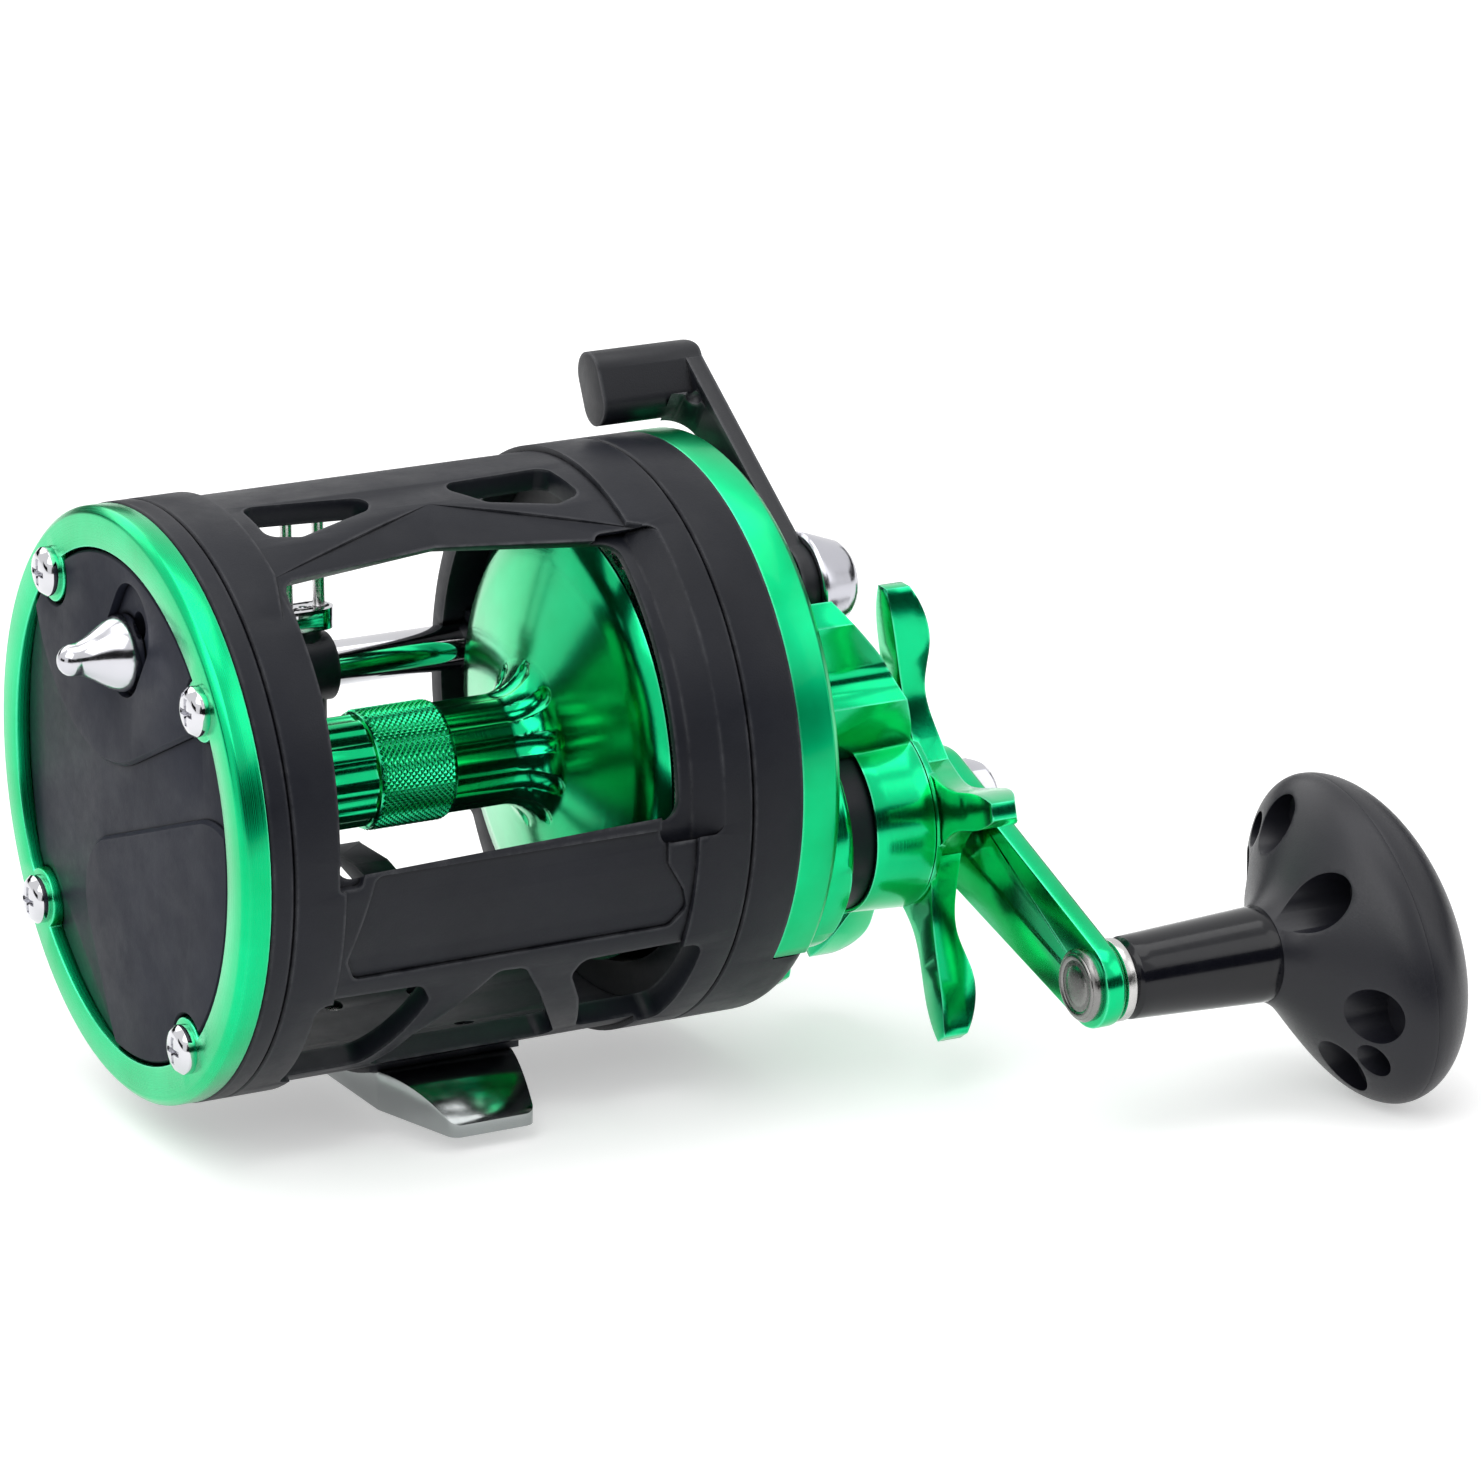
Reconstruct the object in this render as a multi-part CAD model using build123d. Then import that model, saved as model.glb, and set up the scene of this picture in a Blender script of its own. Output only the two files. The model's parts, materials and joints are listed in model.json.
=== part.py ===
from build123d import *
import os
from math import atan2, cos, degrees, hypot, pi, radians, sin

# A level-wind trolling reel. X runs along the spool towards the handle, +Y points at the rod tip and
# +Z is up. Every piece is drawn about the spool axis and lifted at the end, so that the origin lies
# in the middle of the foot's underside. Angles round the spool start at the rear (-Y), pass over the
# top at 90 and reach the front at 180.

os.makedirs("parts", exist_ok=True)

# ---- clearances ----
press_gap = 0.02  # pieces of one body that are pressed or screwed together
running_gap = 0.06  # shafts in bushes and bearings
side_gap = 0.3  # faces of pieces that move past each other

# ---- overall ----
plate_radius = 35.0
axis_height = plate_radius + 2.5  # spool axis over the underside of the foot
frame_width = 58.0
seam_right = frame_width / 2
seam_left = -seam_right
over = 1.0  # how far a cut runs past the face it starts from
sink = 0.1  # how far a joined body runs into the next
beyond = 60.0  # longer than any cut needs

# ---- frame ----
frame_wall = 3.4
middle_drop = 0.7  # the bars between the end rings lie a little lower than the rings
flange_thickness = 3.0
flange_bore = plate_radius - 7.6
ring_width_left = 6.9
ring_width_right = 7.6
rear_low, rear_high, rear_facing = -0.5, 58.5, 29.0
front_low, front_high, front_facing = 114.0, 212.0, 163.0
window_corner = 2.2
kink_x, kink_angle = -1.0, 62.6  # the corner in the middle of the rear window's upper edge
facet_peak_x, facet_peak_angle = 1.0, 76.6  # where the two flats above that edge meet
facet_depth = 1.3
facet_run = 3.0  # how far the flats are carried on past the window's edge
step_depth = 1.7
step_slope = 2.1
step_corner = 1.5
label_depth = 0.5
label_corner = 1.2
lattice_corner = 1.7
lattice_high, lattice_low = -28.4, -58.0
seam_bevel = 0.3
seat_half = 12.4  # half the length of the saddle that the frame rests in
seat_margin = 1.0  # the thick part of the frame over the saddle is this much wider than the foot
bar_end = 0.6  # the low part of the bars runs on under the end rings
lattice_left, lattice_right = 2.6, 3.3  # the slanted holes run on under the end rings
lattice_facing = 41.0  # how far below the horizontal the slanted holes are seen square
top_hole_floor = 20.0  # the top holes are cut down to this height over the spool axis
blind_wall = 0.5  # what a screw hole leaves of its wall

# ---- left side ----
side_plate_left = 2.8
rim_ring_left = 3.4
rim_bevel = 0.8
rim_inset = 0.1
ring_blank = 7.0  # the ring is turned this far inside the cover's edge before its opening is cut
left_screw_circle = plate_radius - 5.2
left_screw_angle, left_screw_count = 37.0, 4
screw_radius_large, screw_head_large = 1.5, 2.9
cover_radius = plate_radius - 5.0
cover_recess = 0.9  # flat of the cover behind the face of the ring
cover_gap = 0.15
cover_relief = 0.75
relief_bevel = 0.45
cover_slope = 1.0  # how far the front of the cover falls away at its rim
ear_radius = 3.8
left_screw_height, left_screw_rest = 1.8, 0.8
stud_radius, stud_head, stud_boss = 1.2, 2.2, 3.0
plate_floor = 1.4
cavity_left = plate_radius - 8.4

# ---- right side ----
band_width = 6.4
side_plate_right = 11.0
rim_lip = 0.8
rim_seat = 1.6  # radial thickness of the green ring
rim_lip_bore = plate_radius - 2.8
right_wall = 1.4
heel_rounding = 3.0
ring_bevel = 1.0
ring_end_gap = 0.4  # angle left open between the ring's ends and the plate's heel
band_bore, inner_bore = plate_radius - 1.4, plate_radius - 4.6
inner_bore_depth = 6.0
ring_cut_angle = -38.0  # the ring ends here and at the same angle in front
right_screw_circle = plate_radius - 6.1
right_screw_angle, right_screw_count = 21.4, 3
screw_radius_small, screw_head_small = 1.2, 2.3
cover_screw_reach = 16.4
cover_screw_angles, bridge_screw_angles = (110, 215, -95), (85, 165, 245)
right_screw_height, cover_screw_height, bridge_screw_height = 1.4, 1.3, 1.0
bridge_screw_head, bridge_screw_inset = 2.0, 3.0
right_screw_rest, bridge_screw_rest = 0.7, 1.2  # what the screws leave of their holes
right_column, bridge_column, lever_boss = 2.6, 2.2, 4.8

# ---- drive gears ----
drive_module = 0.8
pinion_teeth = 18
# the largest gear that turns inside the plate
main_teeth = int((band_bore - 0.75) / drive_module - pinion_teeth / 2)
main_gear_width, pinion_width = 3.2, 3.6
crank_angle = -28.0  # where the crank axis lies round the spool axis
drag_washer_count, washer_step, washer_radius = 4, 0.5, 8.0
ratchet_radius, ratchet_teeth, ratchet_width = 8.6, 12, 1.0
tooth_cut, tooth_width, tooth_slant = 2.4, 1.2, 30.0
dog_reach, dog_angle, dog_pin_radius = 15.2, 60.0, 0.8
dog_root, dog_nose, dog_lead = 1.9, 0.7, 32.0
pin_head_start, pin_head_end = 0.7, 0.15
shaft_collar, shaft_end_radius = 4.4, 2.0

# ---- level-wind gears ----
fine_module = 0.5
spool_teeth, worm_teeth = 14, 12
worm_inset = 4.5  # worm axis inside the round of the frame
idler_teeth = 2 * round(((plate_radius - worm_inset) / fine_module - (spool_teeth + worm_teeth) / 2) / 2)
worm_angle = 173.3
fine_gear_width = 1.4
idler_holes, idler_hole_radius, idler_hole_reach = 5, 2.6, 7.2
addendum, dedendum = 0.85, 1.15

# ---- spool ----
flange_radius = plate_radius - 8.4
spool_half = seam_right - 6.0
hub_half = seam_right - 4.5
hub_radius = 7.6
flange_wall = 1.5
arbour_radius = 6.6
band_radius, band_half, band_slope = 6.95, 4.9, 0.2
spool_lip, lip_height, dish_depth, hub_step = 0.3, 1.8, 1.4, 1.2  # the outer side of the spool
dish_share, dish_start, dish_run, dish_foot = 0.6, 0.6, 1.2, 4.0
flare_start, flare_radius, flare_turn = seam_right - 16.4, 5.0, 77.0
cone_end_x, cone_end_radius = seam_right - 8.1, flange_radius - 2.3
flute_count, flute_radius, flute_depth = 10, 2.6, 0.42
flute_turn = 52.0  # how far the flutes follow the flare
shaft_radius, journal_radius = 2.0, 1.5
bearing_radius, bearing_width = 4.0, 2.4
bearing_wall, bearing_shoulder = 1.6, 0.6
shield_depth = 0.2
race_step, race_wall, race_lip = 0.5, 1.4, 0.8  # the seat of the right bearing in the bridge
drive_pin_radius, drive_pin_half, drive_pin_inset = 0.4, 2.4, 0.5
pin_slot_width, pin_slot_inset = 1.1, 0.45

# ---- level wind ----
tube_radius, tube_bore = 2.8, 2.3
tube_seat = 0.7
worm_root, worm_radius, worm_journal = 1.6, 2.15, 1.2
bush_radius = 2.5
bush_gap, bush_inset = 0.05, 1.9
worm_play, shaft_inset = 0.4, 1.6
bush_wall = 1.2  # what the right bush's hole leaves of the frame's end
worm_boss = 4.2
boss_face = seam_right - 4.8
guide_rest, guide_half = 2.45, 2.95
guide_radius = 4.2
guide_low, guide_high = -18.4, 13.5
slot_width, slot_share = 1.7, 1.6
wire_radius, wire_spacing, wire_top = 0.75, 4.2, 20.5
wire_sink = 0.5  # depth of the wire's seats in its block
block_overhang, block_depth, block_height, block_hole = 3.4, 4.4, 2.6, 0.55
neck_radius, neck_height, cup_radius, cup_depth = 2.2, 5.0, 2.7, 6.6
pawl_depth = 6.4
pawl_cap_depth, pawl_cap_slot, pawl_cap_cut = 8.2, 0.7, 0.9
groove_pitch, groove_half, groove_margin = 3.2, 0.5, 3.0

# ---- crank, star and handle ----
collar_lift, collar_width = 8.85, 7.6
collar_root, collar_tip = 10.95, 11.4
boss_radius, boss_bore = 10.45, 7.0
boss_length, boss_shoulder = 15.0, 0.9
cover_base = 4.4
cover_rounding = 1.4
lug_radius, lug_height = 3.4, 2.2  # the lugs of the cover's screws
opening_depth = 2.2  # the open side under the collar reaches this far down into the base
crank_shaft_radius, sleeve_radius = 3.0, 4.4
shaft_flat = 2.4  # half the width over the two flats that carry the handle arm
crank_bearing_lift, crank_bearing_width = 5.5, 3.0
fin_angle, fin_reach, fin_offset, fin_tip = 76.2, 29.0, 3.0, 2.8
star_radius, star_arms, star_phase = 28.3, 5, 88.0
star_width = 5.15
arm_gap, arm_thickness = 0.45, 3.0
arm_reach, arm_angle = 37.9, -18.0
arm_root_radius, arm_tip_radius = 7.0, 5.2
nut_radius, nut_height, nut_roof = 5.0, 4.6, 1.3
washer_thickness, shank_length, grip_length, cap_length = 1.35, 19.2, 12.7, 10.8
shank_root, shank_tip = 4.9, 5.75
knob_long, knob_short, knob_turn = 21.6, 15.4, 38.0
spindle_radius, spindle_head = 2.0, 4.3
spindle_head_height, spindle_head_bevel = 1.15, 0.35
spindle_foot, spindle_foot_height, spindle_room = 1.4, 1.2, 3.0
shank_rounding, arm_bevel = 0.9, 0.7
spring_radius, spring_rise, spring_wall, spring_step, spring_room = 6.2, 0.35, 0.45, 0.9, 2.0
finger_radius, finger_end_radius, finger_floor = 3.3, 2.0, 1.6
finger_long, finger_short = knob_long - 4.7, knob_short - 6.3

# ---- free-spool lever ----
pivot_radius, pivot_angle = plate_radius - 8.94, 50.1
lever_lift, lever_thickness = 2.6, 2.2
lever_hub, lever_shaft = 5.3, 1.8
pad_y, pad_z, pad_turn = 9.3, plate_radius + 4.5, 65.7
pad_long, pad_short, pad_start = 9.0, 5.5, seam_right + 1.85
cap_root, cap_tip, cap_height = 6.3, 4.5, 6.0
elbow_radius, web_radius, dimple_radius = 3.2, 3.6, 1.0
elbow_half = 2.6
web_share = 0.45  # half the web's width, as a share of the pad's
pad_over, pad_under = 0.78, 0.75  # how far the pad stands over and under its middle, as shares of its width
lever_stud = 3.6  # how far the stud stands out for the cap nut

# ---- clutch ----
yoke_thickness, yoke_reach, yoke_angle = 0.6, 13.0, 60.0
post_radius, post_root = 1.0, 0.7
yoke_end, yoke_middle = 2.4, 6.2
coil_wire, coil_turns, coil_offset = 0.22, 4, 0.45
coil_outer, coil_inner = post_radius + 0.5, post_radius + 0.3
pinion_flange = 0.6
cam_width, cam_root, cam_tip, cam_reach, cam_inset = 1.2, 3.4, 1.6, 5.0, 1.5
groove_radius, pinion_hub = 3.4, 4.6

# ---- click ----
button_root, button_tip, button_length = 4.5, 1.9, 8.9
button_y, button_z = -1.8, 18.9
click_angle, click_travel = 54.0, 4.6
click_gear_radius, click_teeth = 7.4, 16
stem_radius = 1.3
flank_steps, tip_steps = 12, 6
click_margin = 0.2  # the slot is this much longer at both ends than the button's path
button_lip, button_recess, button_gap = 0.7, 0.4, 0.15
tongue_thickness, tongue_reach = 0.8, 0.62  # the tongue's nose lies at this share of the way to the button
tongue_root, tongue_half, tongue_toe = 2.2, 0.9, 0.25
notch_radius, notch_offset = 0.7, 0.15

# ---- foot ----
foot_length = 51.0
foot_root_half, foot_tip_half = 8.7, 5.2
foot_tip_thickness, foot_tip_rounding = 1.5, 1.5
foot_screw_sink, foot_screw_height = 0.1, 1.1
cross_long, cross_wide = 2.6, 0.6
rivet_x, rivet_y = 5.5, 6.5
foot_sweep = 24.0  # radius of the hollow curve from the saddle to the tips

# ---- stations that follow from the sizes ----
frame_bore = plate_radius - frame_wall
middle_radius = plate_radius - middle_drop
window_left = seam_left + ring_width_left
window_right = seam_right - ring_width_right
plate_left = seam_left - side_plate_left
ring_left = plate_left - rim_ring_left
cover_left = ring_left + cover_recess
floor_left = plate_left + plate_floor
boss_left = floor_left - bearing_width - bearing_shoulder
band_right = seam_right + band_width
plate_right = seam_right + side_plate_right
ring_right = plate_right + rim_lip
wall_right = plate_right - right_wall
bridge_start, bridge_thickness, bridge_radius = seam_right + 0.3, 1.4, plate_radius - 9.5
bearing_right = bridge_start + bridge_thickness - bearing_width - 0.3
gear_start = bridge_start + bridge_thickness + 0.5
pinion_start = gear_start - 0.2
groove_start, groove_width = pinion_start + pinion_width + 0.4, 1.2
base_right = plate_right + cover_base
lever_start = plate_right + lever_lift
crank_bearing_start = plate_right + crank_bearing_lift
boss_end = plate_right + boss_length
collar_start = plate_right + collar_lift
collar_end = collar_start + collar_width
star_start = collar_end + side_gap
star_end = star_start + star_width
arm_inner = star_end + arm_gap
arm_outer = arm_inner + arm_thickness
knob_start = arm_outer + washer_thickness
shank_end = knob_start + shank_length
knob_seam = shank_end + grip_length
washer_start = gear_start + main_gear_width - 1.5
ratchet_start = washer_start + drag_washer_count * washer_step
fine_start = seam_left + 0.15
pocket_end = fine_start + fine_gear_width + side_gap
click_start = floor_left + side_gap


def polar(radius, angle):
    return -radius * cos(radians(angle)), radius * sin(radians(angle))


crank_offset = (main_teeth + pinion_teeth) * drive_module / 2
idler_offset = (spool_teeth + idler_teeth) * fine_module / 2
worm_offset = idler_offset + (idler_teeth + worm_teeth) * fine_module / 2
crank_y, crank_z = polar(crank_offset, crank_angle)
idler_y, idler_z = polar(idler_offset, worm_angle)
worm_y, worm_z = polar(worm_offset, worm_angle)
pivot_y, pivot_z = polar(pivot_radius, pivot_angle)
knob_y = crank_y - arm_reach * cos(radians(arm_angle))
knob_z = crank_z + arm_reach * sin(radians(arm_angle))
click_y, click_z = polar(1, click_angle)


# ======== drawing helpers ========

def tube(x0, x1, outer, inner=0.0, y=0.0, z=0.0):
    place = Pos((x0 + x1) / 2, y, z) * Rot(0, 90, 0)
    body = place * Cylinder(outer, abs(x1 - x0))
    if inner > 0:
        body = body - place * Cylinder(inner, abs(x1 - x0) + over)
    return body


def upright(radius, z0, z1, x=0.0, y=0.0):
    return Pos(x, y, (z0 + z1) / 2) * Cylinder(radius, z1 - z0)


def slab(x0, x1, sketch):
    # a flat piece between two stations, its outline drawn in Y and Z
    return extrude(Plane.YZ.offset(x0) * sketch, amount=x1 - x0, dir=(1, 0, 0))


def turned(outline, y=0.0, z=0.0):
    # a round piece from (x, radius) points
    face = make_face(Polyline(*outline, close=True))
    return Pos(0, y, z) * revolve(face, Axis.X)


def rounded_hull(*circles):
    edges = []
    for y, z, radius in circles:
        edges += (Pos(y, z) * Circle(radius)).edges()
    return make_hull(edges)


def window(corners, facing, corner=0.0, inner=12.0):
    # a straight cut through the round frame; corners are (x, angle) on its outside
    outline = [(x, plate_radius * sin(radians(angle - facing))) for x, angle in corners]
    sketch = Polygon(*outline, align=None)
    if corner > 0:
        sketch = fillet(sketch.vertices(), corner)
    look = radians(facing)
    plane = Plane(origin=(0, 0, 0), x_dir=(1, 0, 0), z_dir=(0, -cos(look), sin(look)))
    return extrude(plane.offset(inner) * sketch, amount=beyond - inner, dir=plane.z_dir)


def on_frame(x, angle, radius):
    y, z = polar(radius, angle)
    return Vector(x, y, z)


def flat_cut(first, second, across, away, depth=8.0):
    # cuts along a slanted flat: its edge runs from first to second, and it slopes the way across points
    face = Face(Wire.make_polygon([first, second, second + across, first + across]))
    return extrude(face, amount=depth, dir=away)


def sunk(cut, depth):
    # the part of a cut that lies less than the depth below the bars of the frame
    return cut - tube(-beyond, beyond, middle_radius - depth)


def gear(x0, width, teeth, module, bore, y=0.0, z=0.0, phase=0.0):
    pitch = teeth * module / 2
    tip, root = pitch + addendum * module, pitch - dedendum * module
    step = 2 * pi / teeth
    outline = []
    for i in range(teeth):
        middle = radians(phase) + i * step
        for radius, share in ((root, -0.31), (tip, -0.1), (tip, 0.1), (root, 0.31)):
            outline.append((radius * cos(middle + share * step), radius * sin(middle + share * step)))
    sketch = Polygon(*outline, align=None) - Circle(bore)
    return Pos(0, y, z) * slab(x0, x0 + width, sketch)


def pan_screw(seat, length, head, height, shank, y, z, side):
    # a cross-slotted pan head standing on its seat, towards -X or +X
    outline = [
        (-length, 0), (-length, shank), (0, shank), (0, head), (height * 0.5, head),
        (height * 0.85, head * 0.8), (height, head * 0.45), (height, 0),
    ]
    body = turned([(side * x, r) for x, r in outline])
    for turn in (0, 90):
        cross = Box(height * 0.9, head * 1.1, head * 0.24)
        body -= Pos(side * height, 0, 0) * Rot(turn, 0, 0) * cross
    return Pos(seat, y, z) * body


def screw_angles(first, count):
    return [first + i * 360 / count for i in range(count)]


def left_screw_places():
    return [polar(left_screw_circle, angle) for angle in screw_angles(left_screw_angle, left_screw_count)]


def right_screw_places():
    return [polar(right_screw_circle, angle) for angle in screw_angles(right_screw_angle, right_screw_count)]


def bridge_screw_places():
    return [polar(bridge_radius - bridge_screw_inset, angle) for angle in bridge_screw_angles]


def cover_screw_places():
    around = [polar(cover_screw_reach, angle) for angle in cover_screw_angles]
    return [(crank_y + y, crank_z + z) for y, z in around]


def rivet_places():
    return [(x, y) for x in (-rivet_x, rivet_x) for y in (-rivet_y, rivet_y)]


def post_places():
    return [polar(side * yoke_reach, yoke_angle) for side in (-1, 1)]


def group(shapes):
    return Compound(children=list(shapes))


# ======== frame and foot ========

def lattice_holes(side):
    # the three slanted holes under the window, on the rear side or mirrored to the front
    high, low = lattice_high, lattice_low
    left, right = window_left - lattice_left, window_right + lattice_right
    holes = (
        [(left, high), (-11.2, high - 0.4), (-9.6, high - 5), (-13.9, low), (left + 0.3, low)],
        [
            (-1.6, high), (1.9, high - 0.3), (5.0, high - 8.6), (12.6, low - 4),
            (-12.3, low - 4), (-9.7, high - 17),
        ],
        [
            (9.3, high - 1), (right, high - 0.4), (right - 0.3, low), (14.3, low),
            (11.0, high - 13.5), (8.5, high - 5),
        ],
    )
    for corners in holes:
        if side < 0:
            yield window(corners, -lattice_facing, lattice_corner)
        else:
            yield window([(x, 180 - angle) for x, angle in corners], 180 + lattice_facing, lattice_corner)


def top_holes():
    left, right = window_left + 1.7, window_right - 1.9
    near = [(left, 86.2), (left + 15.8, 82.9), (left + 13.9, 77.4), (left + 4, 71.4), (left, 73)]
    far = [(right - 16.1, 84.2), (right - 0.9, 85.8), (right, 73), (right - 3.6, 70.6), (right - 11.6, 74.4)]
    yield window(near, 80, lattice_corner, top_hole_floor)
    yield window(far, 79, lattice_corner, top_hole_floor)


def rear_window():
    corners = [
        (window_left, rear_high), (kink_x, kink_angle), (window_right - 0.6, rear_high - 1.2),
        (window_right - 0.9, rear_low + 2), (window_left - 1.4, rear_low),
    ]
    return window(corners, rear_facing, window_corner)


def front_window():
    corners = [
        (window_left, front_low), (window_right, front_low),
        (window_right, front_high), (window_left, front_high),
    ]
    return window(corners, front_facing, window_corner)


def window_facets():
    # the two flats over the rear window, which meet in a crease above the corner of its edge
    peak = on_frame(facet_peak_x, facet_peak_angle, middle_radius)
    edge = on_frame(kink_x, kink_angle, middle_radius - facet_depth)
    across = (edge - peak) + (edge - peak).normalized() * facet_run
    away = on_frame(0, kink_angle, 1)
    left = on_frame(window_left - bar_end, rear_high + 2, middle_radius)
    right = on_frame(window_right + 2.3, rear_high + 1.5, middle_radius)
    return flat_cut(left, peak, across, away) + flat_cut(peak, right, across, away)


def window_step():
    # the sunk land at the right of the rear window, with a sloping side
    floor, start, end = middle_radius - step_depth, window_right + 0.8, window_right + 0.8 + step_slope
    ring = turned([
        (window_right - 4, floor), (start, floor), (end + step_slope / step_depth, plate_radius + 0.3),
        (window_right - 4, plate_radius + 0.3),
    ])
    corners = [
        (window_right - 4, rear_high + 1.2), (end + 1, rear_high + 1.2), (end + 1, rear_low - 3.4),
        (window_right - 4, rear_low - 3.4),
    ]
    return ring & window(corners, rear_facing, step_corner)


def sill_notch():
    # the low corner at the left of the rear window's sill
    corners = [
        (window_left - 1.4, rear_low + 3), (window_left + 2.6, rear_low + 3),
        (window_left + 1.6, rear_low - 3.4), (window_left - 1.4, rear_low - 3.2),
    ]
    return sunk(window(corners, -10, 0.8), 2 * label_depth)


def label_field():
    right = window_right - 3.2
    corners = [
        (window_left + 3.5, rear_low - 1.5), (window_left + 0.5, -19.0), (window_left + 1.8, -23.7),
        (right + 1.6, -23.6), (right + 3.4, -19.6), (right + 2.6, -15.2), (right + 0.3, -9.2),
        (right, rear_low - 1.5),
    ]
    return sunk(window(corners, -12, label_corner), label_depth)


def level_wind_seats():
    # pockets for the gear train, holes for the bushes and seats for the guard tube
    cut = Part()
    for teeth, y, z in ((worm_teeth, worm_y, worm_z), (idler_teeth, idler_y, idler_z)):
        reach = (teeth / 2 + addendum) * fine_module + side_gap
        cut += tube(seam_left - over, pocket_end, reach, 0, y, z)
    cut += tube(pocket_end - over, -boss_face + over, bush_radius + press_gap, 0, worm_y, worm_z)
    cut += tube(boss_face - over, seam_right - bush_wall, bush_radius + press_gap, 0, worm_y, worm_z)
    for side in (-1, 1):
        start, end = side * (boss_face - worm_boss), side * (boss_face + tube_seat)
        cut += tube(start, end, tube_radius + press_gap, 0, worm_y, worm_z)
    return cut


def main_frame():
    body = tube(seam_left, seam_right, plate_radius, frame_bore)
    body -= tube(window_left - bar_end, window_right + bar_end, plate_radius + over, middle_radius)
    body += tube(seam_left, seam_left + flange_thickness, frame_bore + blind_wall, flange_bore)
    body += tube(seam_right - flange_thickness, seam_right, frame_bore + blind_wall, flange_bore)
    bosses = tube(seam_left, -boss_face, worm_boss, 0, worm_y, worm_z)
    bosses += tube(boss_face, seam_right, worm_boss, 0, worm_y, worm_z)
    body += bosses & tube(seam_left, seam_right, plate_radius)
    seat = foot_root_half + seat_margin
    under = Pos(0, 0, -plate_radius) * Box(2 * seat, 2 * seat_half, plate_radius)
    body += tube(-seat, seat, plate_radius, frame_bore) & under
    body -= rear_window()
    body -= front_window()
    for hole in top_holes():
        body -= hole
    for side in (-1, 1):
        for hole in lattice_holes(side):
            body -= hole
    body -= window_facets()
    body -= window_step()
    body -= sill_notch()
    body -= label_field()
    body -= level_wind_seats()
    depth = flange_thickness - blind_wall
    for y, z in left_screw_places():
        body -= tube(seam_left - over, seam_left + depth, screw_radius_large + press_gap, 0, y, z)
    for y, z in right_screw_places():
        body -= tube(seam_right - depth, seam_right + over, screw_radius_small + press_gap, 0, y, z)
    for x, y in rivet_places():
        body -= upright(screw_radius_small + press_gap, -plate_radius - over, -frame_bore + over, x, y)
    circles = body.edges().filter_by(GeomType.CIRCLE)
    rounds = [edge for edge in circles if abs(edge.radius - plate_radius) < press_gap]
    ends = [edge for edge in rounds if abs(abs(edge.center().X) - seam_right) < press_gap]
    return chamfer(ends, seam_bevel)


def foot_profile():
    # half of the foot from the side: a saddle for the frame, then a hollow sweep to a thin tip
    half = foot_length / 2
    saddle = plate_radius + press_gap
    rim = axis_height - (saddle ** 2 - seat_half ** 2) ** 0.5
    middle = axis_height - saddle
    halfway = axis_height - (saddle ** 2 - seat_half ** 2 / 4) ** 0.5
    seat = ThreePointArc((0, middle), (seat_half / 2, halfway), (seat_half, rim))
    sweep = RadiusArc((seat_half, rim), (half, foot_tip_thickness), foot_sweep)
    return make_face(seat + sweep + Polyline((half, foot_tip_thickness), (half, 0), (0, 0), (0, middle)))


def reel_foot():
    half = foot_length / 2
    side = foot_profile()
    body = slab(-foot_root_half, foot_root_half, side + mirror(side, Plane.YZ))
    outline = Polygon(
        (-foot_root_half, -seat_half), (-foot_root_half, seat_half), (-foot_tip_half, half),
        (foot_tip_half, half), (foot_root_half, seat_half), (foot_root_half, -seat_half),
        (foot_tip_half, -half), (-foot_tip_half, -half),
        align=None,
    )
    tips = [corner for corner in outline.vertices() if abs(corner.Y) > half - sink]
    outline = fillet(tips, foot_tip_rounding)
    body &= extrude(Plane.XY.offset(-over) * outline, amount=axis_height, dir=(0, 0, 1))
    for x, y in rivet_places():
        body -= upright(screw_radius_small + press_gap, -over, axis_height / 2, x, y)
        body -= upright(screw_head_small + press_gap, -over, foot_screw_sink + foot_screw_height, x, y)
    return Pos(0, 0, -axis_height) * body


def foot_screw(x, y):
    low = -axis_height + foot_screw_sink
    seat = low + foot_screw_height
    depth = -(frame_bore ** 2 - y ** 2) ** 0.5 - blind_wall
    body = upright(screw_radius_small, seat - sink, depth, x, y) + upright(screw_head_small, low, seat, x, y)
    return body - Pos(x, y, low) * (Box(cross_long, cross_wide, over) + Box(cross_wide, cross_long, over))


# ======== left side ========

def click_slot(x0, x1, half_width):
    first, last = -click_margin, click_travel + click_margin
    ends = [(button_y + run * click_y, button_z + run * click_z, half_width) for run in (first, last)]
    return slab(x0, x1, rounded_hull(*ends))


def left_side_plate():
    body = tube(plate_left, seam_left, plate_radius)
    body = chamfer(body.edges().filter_by(GeomType.CIRCLE), seam_bevel)
    body -= tube(floor_left, seam_left + over, cavity_left)
    reach = (worm_teeth / 2 + addendum) * fine_module + side_gap
    body -= tube(seam_left - side_gap, seam_left + over, reach, 0, worm_y, worm_z)
    reach = (idler_teeth / 2 + addendum) * fine_module + side_gap
    body -= tube(seam_left - side_gap, seam_left + over, reach, 0, idler_y, idler_z)
    body += tube(boss_left, floor_left, bearing_radius + bearing_wall)
    body -= tube(boss_left + bearing_shoulder, floor_left + sink, bearing_radius + press_gap)
    body -= tube(boss_left - sink, boss_left + over, shaft_radius + over)
    body += tube(plate_left, seam_left - side_gap, stud_boss, 0, idler_y, idler_z)
    body -= tube(plate_left - over, seam_left + over, stud_radius + press_gap, 0, idler_y, idler_z)
    for y, z in left_screw_places():
        body -= tube(plate_left - over, seam_left + over, screw_radius_large + press_gap, 0, y, z)
    return body - click_slot(plate_left - over, seam_left, stem_radius + side_gap)


def screw_ears(radius):
    ears = Sketch()
    for y, z in left_screw_places():
        ears += Pos(y, z) * Circle(radius)
    return ears


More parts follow.
